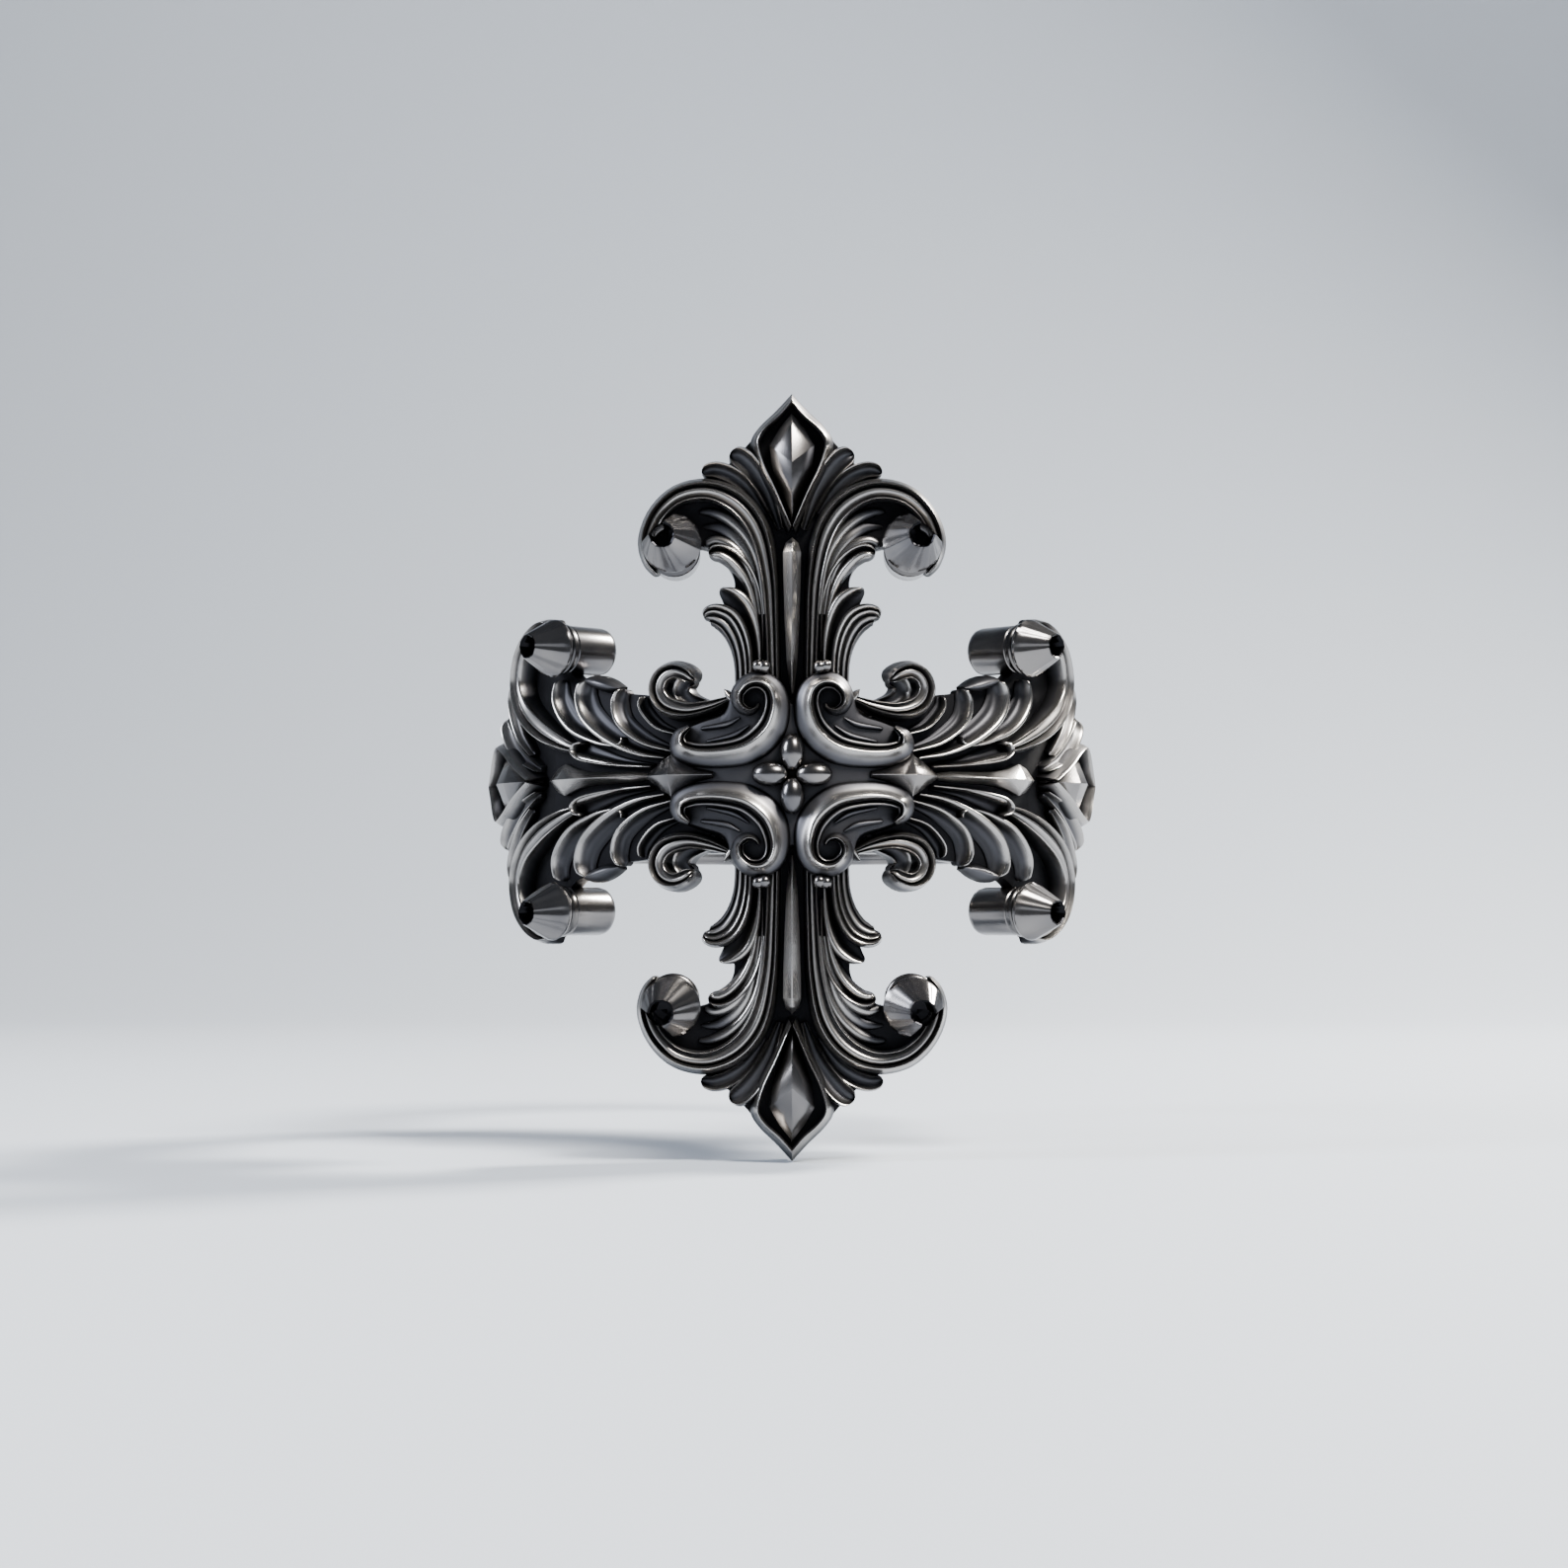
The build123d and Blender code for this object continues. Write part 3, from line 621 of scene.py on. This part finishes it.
def oxidised_silver(name, worn_from, worn_to, gloss):
    """Cast sterling silver, dipped black and rubbed back: crests bright, slopes grey, hollows black.

    The rubbing follows each casting's own height, and the oxide stays wherever it is hemmed in; beside the paper
    the same darkening is painted shade.
    """
    colours = bpy.context.scene.cross_ring_finish
    material = new_material(name)
    place = add_node(material, "ShaderNodeTexCoord").outputs["Object"]
    rise = add_node(material, "ShaderNodeAttribute", attribute_name="rise").outputs["Fac"]
    # Rubbing is uneven over patches of about 1.5 mm, by this much of a casting's height.
    by = 0.3
    patches = add_node(material, "ShaderNodeTexNoise", {"Vector": place, "Scale": 1 / (1.5 * MM), "Detail": 3.0})
    uneven = add_node(
        material, "ShaderNodeMath", {0: patches.outputs["Fac"], 1: by, 2: rise}, operation="MULTIPLY_ADD"
    )
    worn = add_node(
        material, "ShaderNodeMapRange",
        {"Value": uneven.outputs[0], "From Min": worn_from + by / 2, "From Max": worn_to + by / 2},
        interpolation_type="SMOOTHSTEP",
    )
    # Openness to the room within 1 mm tells the hollows from the open slopes.
    # The paper counts too, so within 1 mm of it this mask paints shade onto the silver.
    hemmed = add_node(material, "ShaderNodeAmbientOcclusion", {"Distance": 1.0 * MM}, samples=8)
    open_air = add_node(
        material, "ShaderNodeMapRange", {"Value": hemmed.outputs["AO"], "From Min": 0.25, "From Max": 0.85},
        interpolation_type="SMOOTHSTEP",
    )
    thinned = add_node(
        material, "ShaderNodeMapRange", {"Value": rise, "From Min": -0.10, "From Max": 0.70},
        interpolation_type="SMOOTHSTEP",
    )
    thinned_open = add_node(
        material, "ShaderNodeMath", {0: thinned.outputs[0], 1: open_air.outputs[0]}, operation="MULTIPLY"
    )
    slope = add_node(
        material, "ShaderNodeMix",
        {"Factor": thinned_open.outputs[0], "A": (*colours.oxide, 1), "B": (*colours.grey, 1)},
        data_type="RGBA",
    )
    half_open = add_node(material, "ShaderNodeMapRange", {"Value": open_air.outputs[0], "To Min": 0.35})
    crest_share = add_node(
        material, "ShaderNodeMath", {0: worn.outputs[0], 1: half_open.outputs[0]}, operation="MULTIPLY"
    )
    colour = add_node(
        material, "ShaderNodeMix",
        {"Factor": crest_share.outputs[0], "A": slope.outputs["Result"], "B": (*colours.bright, 1)},
        data_type="RGBA",
    )
    # Fine polishing grain, drawn at 0.06 mm so that it shows.
    grain = add_node(material, "ShaderNodeTexNoise", {"Vector": place, "Scale": 1 / (0.06 * MM), "Detail": 2.0})
    bump = add_node(
        material, "ShaderNodeBump", {"Height": grain.outputs["Fac"], "Strength": 0.12, "Distance": 0.006 * MM}
    )
    rough = add_node(
        material, "ShaderNodeMapRange",
        {"Value": crest_share.outputs[0], "To Min": gloss + 0.22, "To Max": gloss},
    )
    shader = add_node(
        material, "ShaderNodeBsdfPrincipled",
        {"Base Color": colour.outputs["Result"], "Roughness": rough.outputs[0], "Normal": bump.outputs[0],
         "Metallic": 1.0},
    )
    add_node(material, "ShaderNodeOutputMaterial", {"Surface": shader.outputs[0]})
    return material


def turned_silver(name, gloss):
    """Sterling silver, turned and polished: clean reflections, soft clouds of tarnish, and oxide in its grooves."""
    colours = bpy.context.scene.cross_ring_finish
    material = new_material(name)
    place = add_node(material, "ShaderNodeTexCoord").outputs["Object"]
    hemmed = add_node(material, "ShaderNodeAmbientOcclusion", {"Distance": 0.4 * MM}, samples=8)
    open_air = add_node(
        material, "ShaderNodeMapRange", {"Value": hemmed.outputs["AO"], "From Min": 0.15, "From Max": 0.6},
        interpolation_type="SMOOTHSTEP",
    )
    rise = add_node(material, "ShaderNodeAttribute", attribute_name="rise").outputs["Fac"]
    raised = add_node(
        material, "ShaderNodeMapRange", {"Value": rise, "From Min": 0.2, "From Max": 0.7, "To Max": 1.0},
        interpolation_type="SMOOTHSTEP",
    )
    clear = add_node(
        material, "ShaderNodeMath", {0: raised.outputs[0], 1: open_air.outputs[0]}, operation="MULTIPLY"
    )
    # Tarnish in soft clouds of about 2.5 mm.
    clouds = add_node(material, "ShaderNodeTexNoise", {"Vector": place, "Scale": 1 / (2.5 * MM), "Detail": 2.0})
    tarnished = add_node(
        material, "ShaderNodeMapRange", {"Value": clouds.outputs["Fac"], "From Min": 0.3, "From Max": 0.7},
        interpolation_type="SMOOTHSTEP",
    )
    clean = add_node(
        material, "ShaderNodeMix",
        {"Factor": tarnished.outputs[0], "A": (*colours.turned, 1), "B": (*colours.tarnish, 1)},
        data_type="RGBA",
    )
    colour = add_node(
        material, "ShaderNodeMix",
        {"Factor": clear.outputs[0], "A": (*colours.oxide, 1), "B": clean.outputs["Result"]},
        data_type="RGBA",
    )
    # Polishing marks, drawn at 0.05 mm so that they show.
    marks = add_node(material, "ShaderNodeTexNoise", {"Vector": place, "Scale": 1 / (0.05 * MM), "Detail": 2.0})
    bump = add_node(
        material, "ShaderNodeBump", {"Height": marks.outputs["Fac"], "Strength": 0.08, "Distance": 0.005 * MM}
    )
    rough = add_node(
        material, "ShaderNodeMapRange", {"Value": clouds.outputs["Fac"], "To Min": gloss, "To Max": gloss + 0.12}
    )
    shader = add_node(
        material, "ShaderNodeBsdfPrincipled",
        {"Base Color": colour.outputs["Result"], "Roughness": rough.outputs[0], "Normal": bump.outputs[0],
         "Metallic": 1.0},
    )
    add_node(material, "ShaderNodeOutputMaterial", {"Surface": shader.outputs[0]})
    return material


def matt_paper(name):
    """Heavy matt paper: no gloss, with a faint tooth."""
    material = new_material(name)
    place = add_node(material, "ShaderNodeTexCoord").outputs["Object"]
    tooth = add_node(material, "ShaderNodeTexNoise", {"Vector": place, "Scale": 1 / (0.5 * MM), "Detail": 3.0})
    bump = add_node(
        material, "ShaderNodeBump", {"Height": tooth.outputs["Fac"], "Strength": 0.15, "Distance": 0.03 * MM}
    )
    colour = (*bpy.context.scene.cross_ring_finish.floor, 1)
    shader = add_node(
        material, "ShaderNodeBsdfPrincipled",
        {"Base Color": colour, "Roughness": 0.9, "Normal": bump.outputs[0]},
    )
    add_node(material, "ShaderNodeOutputMaterial", {"Surface": shader.outputs[0]})
    return material


def relief_silver():
    """The straps' and leaves' finish: crests rubbed bright."""
    return oxidised_silver("Oxidised silver, rubbed back", 0.45, 0.95, 0.24)


def black_silver():
    """The plates' finish under the relief: nearly all of the oxide left."""
    return oxidised_silver("Oxidised silver, left black", 0.55, 1.0, 0.36)


def bright_silver():
    """The finish of the posts, the hoop, the beads and the spears: no oxide but in their grooves."""
    return turned_silver("Polished sterling silver", 0.16)


class CROSSRING_OT_stage(bpy.types.Operator):
    """Lays the paper, and sets the lights and the camera"""

    bl_idname = "cross_ring.stage"
    bl_label = "Stage"
    bl_options = {"REGISTER", "UNDO"}

    # Camera: how far off, how far up, and how far its aim lies left of and below the finger's axis.
    DISTANCE, TILT = 118.2 * MM, radians(-2.7)
    AIM = Vector((-0.33 * MM, 0, 0.25 * MM))
    # Paper: how far it runs forward and back, the radius of its sweep and the height of its back.
    FRONT, BACK, SWEEP, TOP, HALF = 0.9, 0.14, 0.16, 0.7, 0.9

    def lay_paper(self):
        """A sheet that lies under the ring, sweeps up behind it and stands upright."""
        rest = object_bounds()[0][2]
        bend = [
            (self.BACK + self.SWEEP * sin(a * pi / 32), self.SWEEP * (1 - cos(a * pi / 32))) for a in range(17)
        ]
        profile = [(-self.FRONT, 0), (0, 0), *bend, (self.BACK + self.SWEEP, self.TOP)]
        deselect()
        bpy.ops.mesh.primitive_grid_add(x_subdivisions=1, y_subdivisions=len(profile) - 1, size=1)
        paper = bpy.context.object
        for vertex in paper.data.vertices:
            away, height = profile[round((vertex.co.y + 0.5) * (len(profile) - 1))]
            vertex.co = (vertex.co.x * 2 * self.HALF, away, rest + height)
        paper.name = "paper"
        smooth(paper, 60)
        paper.data.materials.append(matt_paper("Matt paper"))
        paper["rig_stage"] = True

    def light(self, name, place, size, watts, colour="ffffff"):
        """A soft box that faces the cross."""
        lamp = bpy.data.lights.new(name, "AREA")
        lamp.shape = "RECTANGLE"
        lamp.size, lamp.size_y = size
        lamp.energy = watts
        lamp.color = linear(colour)
        holder = bpy.data.objects.new(name, lamp)
        holder.location = place
        holder.rotation_euler = (-Vector(place)).to_track_quat("-Z", "Y").to_euler()
        bpy.context.collection.objects.link(holder)

    def execute(self, context):
        self.lay_paper()
        self.light("key", (0.12, -0.13, 0.20), (0.07, 0.07), 2.1, "fffaf2")
        self.light("side", (-0.20, -0.08, 0.10), (0.05, 0.12), 0.8, "eef4ff")
        self.light("back", (0.17, 0.10, 0.16), (0.05, 0.05), 2.9, "fffaf2")
        world = bpy.data.worlds.new("studio")
        world.use_nodes = True
        background = world.node_tree.nodes["Background"]
        background.inputs["Color"].default_value = (*linear("b4bcc8"), 1)
        background.inputs["Strength"].default_value = 0.30
        context.scene.world = world
        lens = bpy.data.cameras.new("camera")
        lens.lens, lens.sensor_width = 65.5, 36
        lens.clip_start, lens.clip_end = 0.005, 5
        lens.dof.use_dof = False
        camera = bpy.data.objects.new("camera", lens)
        camera.location = (0, -self.DISTANCE * cos(self.TILT), self.DISTANCE * sin(self.TILT))
        camera.rotation_euler = (self.AIM - camera.location).to_track_quat("-Z", "Y").to_euler()
        context.collection.objects.link(camera)
        context.scene.camera = camera
        return {"FINISHED"}


class CROSSRING_OT_hoop(bpy.types.Operator):
    """Turns the plain hoop that goes round the finger"""

    bl_idname = "cross_ring.hoop"
    bl_label = "Hoop"
    bl_options = {"REGISTER", "UNDO"}

    ROUND = 0.35  # rounding of the hoop's edges
    CORNER_STEPS = 5

    def execute(self, context):
        bore = frame["record"]["mounts"][0]["dims"]["r_mm"]
        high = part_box("finger_band")[1]
        outer, half = high.x / MM, high.z / MM
        middle, reach = (bore + outer) / 2, (outer - bore) / 2 - self.ROUND
        rings = []
        for start, (across, up) in enumerate(((-1, -1), (1, -1), (1, 1), (-1, 1))):
            for step in range(self.CORNER_STEPS + 1):
                angle = pi + (start + step / self.CORNER_STEPS) * pi / 2
                rings.append((
                    middle + across * reach + self.ROUND * cos(angle),
                    up * (half - self.ROUND) + self.ROUND * sin(angle),
                    1.0,
                ))
        rings.append(rings[0])
        hoop = lathe("hoop", rings, lambda x, y, z: Vector((x, y, z)) * MM, segments=160, solid=False)
        smooth(hoop, 60)
        finish_piece(hoop, "finger_band", bright_silver())
        return {"FINISHED"}


class CROSSRING_OT_plates(bpy.types.Operator):
    """Softens the plates' edges, and blackens their faces under the relief"""

    bl_idname = "cross_ring.plates"
    bl_label = "Plates"
    bl_options = {"REGISTER", "UNDO"}

    EDGE = 0.07 * MM
    BRIGHT_BELOW = 0.25 * MM  # how far under the face the oxide is rubbed off the sides and back

    def soften(self, node, from_axis):
        """A merged copy of a plate with its edges rounded; from_axis gives a point's distance out."""
        plate = frame["nodes"][node].copy()
        plate.data = plate.data.copy()
        plate.name = plate.data.name = f"cast_{node}"
        bpy.context.collection.objects.link(plate)
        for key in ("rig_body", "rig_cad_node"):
            del plate[key]
        plate.parent = None
        in_edit_mode(
            plate,
            (bpy.ops.mesh.remove_doubles, {"threshold": 0.001 * MM}),
            (bpy.ops.mesh.dissolve_limited, {"angle_limit": radians(1)}),
            (bpy.ops.mesh.normals_make_consistent, {"inside": False}),
        )
        modify(plate, "BEVEL", width=self.EDGE, segments=3, limit_method="ANGLE", angle_limit=radians(40))
        rise = plate.data.attributes.new("rise", "FLOAT", "POINT")
        for vertex in plate.data.vertices:
            depth = FACE_R - from_axis(vertex.co)
            rise.data[vertex.index].value = min(0.85, depth / self.BRIGHT_BELOW)
        smooth(plate, 35)
        return plate

    def execute(self, context):
        upright = self.soften("upright_plate", lambda place: -place.y)
        finish_piece(upright, "upright_plate", black_silver())
        for side in SIDES:
            node = f"{side}_wing_plate"
            wing = self.soften(node, lambda place: hypot(place.x, place.y))
            finish_piece(wing, node, black_silver())
        return {"FINISHED"}


class CROSSRING_OT_boss(bpy.types.Operator):
    """Lays the bent boss that the centre scrolls stand on"""

    bl_idname = "cross_ring.boss"
    bl_label = "Boss"
    bl_options = {"REGISTER", "UNDO"}

    WORN = 0.26  # how far the oxide is rubbed off its top
    END = 0.12  # how far past its ends its top would meet the plates

    def execute(self, context):
        edge = smooth_line(BOSS_EDGE, 4)
        places = [*[(-x, half) for x, half in reversed(edge)], *edge[1:]]
        section = smooth_line(BOSS_SECTION, SECTION_STEPS)
        last = places[-1][0]
        rows = []
        for x, half in places:
            # The top stays level to near its ends, where it falls away.
            fall = sqrt(max(0, 1 - (abs(x) / (last + self.END)) ** 8))
            rows.append([(x, s * half, h * fall, self.WORN) for s, h in section])
        boss = casting("boss", [rows], crowned)
        finish_piece(boss, "centre_boss", black_silver())
        return {"FINISHED"}


class CROSSRING_OT_straps(bpy.types.Operator):
    """Lays the eight large scrolls, each a strap coiled round its post, the upright's four with flutes along their
    inside
    """

    bl_idname = "cross_ring.straps"
    bl_label = "Large scrolls"
    bl_options = {"REGISTER", "UNDO"}

    def execute(self, context):
        upright = casting(
            "upright_strap",
            [strap(UPRIGHT_STRAP, STRAP_SECTION), *[strap(path, STRAND_SECTION) for path in UPRIGHT_FLUTES]],
            flat,
        )
        place_all(upright, "upright_scroll_{}", QUARTERS, relief_silver())
        wing = casting("wing_strap", [strap(WING_STRAP, STRAP_SECTION)], bent)
        place_all(wing, "wing_scroll_{}", QUARTERS, relief_silver())
        return {"FINISHED"}


class CROSSRING_OT_posts(bpy.types.Operator):
    """Turns the posts in the eyes of the large scrolls, each with a ring, a neck and a leaning cap"""

    bl_idname = "cross_ring.posts"
    bl_label = "Posts"
    bl_options = {"REGISTER", "UNDO"}

    CONE_STEPS = 10

    def rings(self, sink):
        """Radius, height and brightness of each ring, from the back of the shank, which is sunk, into the eye."""
        shank = [
            (radius, height - sink * (height < SHANK_FROM), NECK_WORN if NECK_FROM < height < STEP_TO else 1.0)
            for radius, height in POST_RINGS
        ]
        base_r, base_h, _ = shank[-1]
        cone = [
            (base_r + (CAP_RIM - base_r) * t, base_h + (CAP_TOP - base_h) * t, 1.0)
            for t in (step / self.CONE_STEPS for step in range(1, self.CONE_STEPS + 1))
        ]
        return [*shank, *cone, *[(radius, height, 0.0) for radius, height in EYE_RINGS]]

    def turn(self, name, sink, lean, step, angle, across, up, channel_half):
        """A post, stood at a place across and up in the plane that faces this far round the ring."""
        base = POST_RINGS[-1][1]

        def stand(x, y, height):
            over = max(0, min(1, (height - base) / (CAP_TOP - base)))
            way = atan2(y, x)
            aside = abs((way - CHANNEL_AT + pi) % (2 * pi) - pi)
            cut = max(0, min(1, (channel_half - aside) / CHANNEL_SIDE + 0.5))
            stepped = max(0, min(1, (height - STEP_FROM) / (STEP_TO - STEP_FROM))) * (1 - over) * (1 - cut)
            # Above its foot the cap is filed in waves, and cut open where a strap's hollow runs in.
            if height > base + CAP_WHOLE and hypot(x, y) > EYE_PIN:
                wave = 1 + sum(depth * sin(count * way + start) for count, depth, start in CAP_FACETS)
                x, y = x * wave, y * wave
                height += (CHANNEL_FLOOR - height) * cut
            x += across + lean[0] * over + step[0] * stepped
            return Vector((
                x * cos(angle) + height * sin(angle),
                x * sin(angle) - height * cos(angle),
                y + up + lean[1] * over + step[1] * stepped,
            )) * MM

        post = lathe(name, self.rings(sink), stand, segments=96)
        smooth(post, 32)
        return post

    def execute(self, context):
        upright = self.turn("upright_post", 0, CAP_LEAN, CAP_STEP, 0, *POST_AT, CHANNEL_HALF)
        place_all(upright, "upright_post_{}", QUARTERS, bright_silver())
        angle = WING_POST_AT[0] * MM / PATTERN_R
        wing = self.turn(
            "wing_post", WING_BACK_SINK, WING_CAP_LEAN, (0, 0), angle, 0, WING_POST_AT[1], NO_CHANNEL
        )
        place_all(wing, "wing_post_{}", QUARTERS, bright_silver())
        return {"FINISHED"}


class CROSSRING_OT_leaves(bpy.types.Operator):
    """Lays the leaves inside the large scrolls"""

    bl_idname = "cross_ring.leaves"
    bl_label = "Leaves"
    bl_options = {"REGISTER", "UNDO"}

    def execute(self, context):
        upright = casting(
            "upright_leaf",
            [
                strap(FLUTED_LEAF, FLUTED_SECTION),
                strap(POINTED_LEAF, CRESCENT_SECTION),
                *[strap(path, LEAF_SECTION) for path in UPRIGHT_LEAVES],
            ],
            flat,
        )
        place_all(upright, "upright_leaves_{}", QUARTERS, relief_silver())
        wing = casting(
            "wing_leaf",
            [
                strap(WING_FOLD, VEIN_SECTION),
                *[strap(path, STRAND_SECTION) for path in WING_RIMS],
                *[strap(path, CRESCENT_SECTION) for path in (WING_PETAL, *WING_LEAVES)],
            ],
            bent,
        )
        place_all(wing, "wing_leaves_{}", QUARTERS, relief_silver())
        return {"FINISHED"}


class CROSSRING_OT_tips(bpy.types.Operator):
    """Lays the frame, the spear and the flanking leaves at the end of every arm"""

    bl_idname = "cross_ring.tips"
    bl_label = "Ends of the arms"
    bl_options = {"REGISTER", "UNDO"}

    def frame_rows(self):
        """Rows of the frame, up its right side and down its left."""
        outer = smooth_line([edge[0] for edge in FRAME_EDGES], 6)
        inner = smooth_line([edge[1] for edge in FRAME_EDGES], 6)
        section = smooth_line(FRAME_SECTION, 2)
        right = [
            [(a[0] + (b[0] - a[0]) * t, a[1] + (b[1] - a[1]) * t, h * FRAME_RISE, h) for t, h in section]
            for a, b in zip(outer, inner)
        ]
        left = [[(-x, *rest) for x, *rest in row] for row in reversed(right[:-1])]
        return [*right, *left]

    def execute(self, context):
        for places, lay, move, other in ((ENDS, flat, list, (-1, 1)), (SIDES, bent, on_wing, (1, -1))):
            one = casting("tip_leaf", [strap(move(path), SCOOP_SECTION) for path in TIP_LEAVES], lay)
            pair = joined("tip_leaves", [one, mirrored(one, "tip_leaf_other", *other)])
            place_all(pair, "{}_tip_leaves", places, relief_silver())
            edge = casting("tip_frame", [[move(row) for row in self.frame_rows()]], lay)
            place_all(edge, "{}_tip_frame", places, relief_silver())
            spear = slab("tip_spear", [move(row) for row in bar(TIP_SPEAR)], lay)
            place_all(faceted(spear), "{}_tip_spear", places, bright_silver())
        return {"FINISHED"}


class CROSSRING_OT_ribs(bpy.types.Operator):
    """Lays the lances up the middle of the upright, and the ridges and collar spears along the wings"""

    bl_idname = "cross_ring.ribs"
    bl_label = "Lances, ridges and collar spears"
    bl_options = {"REGISTER", "UNDO"}

    def execute(self, context):
        lance = slab("lance", bar(LANCE), flat)
        place_all(faceted(lance), "{}_lance", ENDS, relief_silver())
        ridge = slab("wing_ridge", bar(WING_RIDGE), bent)
        place_all(faceted(ridge), "{}_wing_ridge", SIDES, relief_silver())
        collar = slab("collar_spear", bar(COLLAR_SPEAR), bent)
        place_all(faceted(collar), "{}_collar_spear", SIDES, bright_silver())
        return {"FINISHED"}


class CROSSRING_OT_hooks(bpy.types.Operator):
    """Lays the hooked scrolls in the corners between the arms, each with a small thorn"""

    bl_idname = "cross_ring.hooks"
    bl_label = "Hooked scrolls"
    bl_options = {"REGISTER", "UNDO"}

    def execute(self, context):
        hook = casting(
            "hook",
            [strap(HOOK_STRAP, STRAP_SECTION), strap(HOOK_WEB, SCOOP_SECTION), strap(HOOK_THORN, STRAND_SECTION)],
            bent,
        )
        place_all(hook, "hook_scroll_{}", QUARTERS, relief_silver())
        return {"FINISHED"}


class CROSSRING_OT_centre_scrolls(bpy.types.Operator):
    """Lays the four centre scrolls on the boss, with two veins inside each"""

    bl_idname = "cross_ring.centre_scrolls"
    bl_label = "Centre scrolls"
    bl_options = {"REGISTER", "UNDO"}

    BOSS_RISE = 0.70  # height of the boss over the plates' face

    def raised(self, across, up, height):
        """A pattern point over the boss."""
        return crowned(across, up, height + self.BOSS_RISE)

    def execute(self, context):
        scroll = casting(
            "centre_scroll",
            [strap(CENTRE_STRAP, VOLUTE_SECTION), *[strap(path, VEIN_SECTION) for path in CENTRE_VEINS]],
            self.raised,
        )
        place_all(scroll, "centre_scroll_{}", QUARTERS, relief_silver())
        return {"FINISHED"}


class CROSSRING_OT_beads(bpy.types.Operator):
    """Sets the quatrefoil of beads on the boss, and the grains above and below the centre volutes"""

    bl_idname = "cross_ring.beads"
    bl_label = "Beads and grains"
    bl_options = {"REGISTER", "UNDO"}

    def drop(self, name, size, place):
        """A bead: a ball squeezed to three half-sizes and set at a place."""
        deselect()
        bpy.ops.mesh.primitive_ico_sphere_add(subdivisions=4, radius=1)
        bead = bpy.context.object
        bead.name = bead.data.name = name
        across, up, out = size
        bead.data.transform(Matrix.Translation(place) @ Matrix.Diagonal((across * MM, out * MM, up * MM, 1)))
        rise = bead.data.attributes.new("rise", "FLOAT", "POINT")
        for value in rise.data:
            value.value = 0.9
        smooth(bead, 60)
        return bead

    def execute(self, context):
        long, short, out = BEAD_SIZE
        beads = []
        for across, up in ((1, 0), (-1, 0), (0, 1), (0, -1)):
            size = (long, short, out) if across else (short, long, out)
            beads.append(self.drop("bead", size, crowned(across * BEAD_OUT, up * BEAD_OUT, BEAD_RISE)))
        finish_piece(joined("cast_quatrefoil_beads", beads), "quatrefoil_beads", bright_silver())
        lobes = [
            self.drop("grain", (radius, radius, radius), flat(side * across, end * up, GRAIN_RISE))
            for across, up, radius in GRAIN_LOBES for side, end in QUARTERS.values()
        ]
        finish_piece(joined("cast_grain_buds", lobes), "grain_buds", bright_silver())
        return {"FINISHED"}


class CROSSRING_PT_panel(bpy.types.Panel):
    """The ring's sizes, finishes and makers"""

    bl_idname = "CROSSRING_PT_panel"
    bl_label = "Cross Ring"
    bl_space_type = "VIEW_3D"
    bl_region_type = "UI"
    bl_category = "Cross Ring"

    def draw(self, context):
        for group in (context.scene.cross_ring_sizes, context.scene.cross_ring_finish):
            box = self.layout.box()
            for name in group.__annotations__:
                box.prop(group, name)
        for operator in OPERATORS:
            self.layout.operator(operator.bl_idname)


OPERATORS = (
    CROSSRING_OT_stage,
    CROSSRING_OT_hoop,
    CROSSRING_OT_plates,
    CROSSRING_OT_boss,
    CROSSRING_OT_straps,
    CROSSRING_OT_posts,
    CROSSRING_OT_leaves,
    CROSSRING_OT_tips,
    CROSSRING_OT_ribs,
    CROSSRING_OT_hooks,
    CROSSRING_OT_centre_scrolls,
    CROSSRING_OT_beads,
)
CLASSES = (CrossRingSizes, CrossRingFinish, *OPERATORS, CROSSRING_PT_panel)


def register():
    for item in CLASSES:
        bpy.utils.register_class(item)
    bpy.types.Scene.cross_ring_sizes = PointerProperty(type=CrossRingSizes)
    bpy.types.Scene.cross_ring_finish = PointerProperty(type=CrossRingFinish)


def unregister():
    del bpy.types.Scene.cross_ring_sizes
    del bpy.types.Scene.cross_ring_finish
    for item in reversed(CLASSES):
        bpy.utils.unregister_class(item)


def main():
    """Makes the ring."""
    register()
    bpy.ops.cross_ring.stage()
    bpy.ops.cross_ring.hoop()
    bpy.ops.cross_ring.plates()
    bpy.ops.cross_ring.boss()
    bpy.ops.cross_ring.straps()
    bpy.ops.cross_ring.posts()
    bpy.ops.cross_ring.leaves()
    bpy.ops.cross_ring.tips()
    bpy.ops.cross_ring.ribs()
    bpy.ops.cross_ring.hooks()
    bpy.ops.cross_ring.centre_scrolls()
    bpy.ops.cross_ring.beads()


if __name__ == "__main__":
    main()
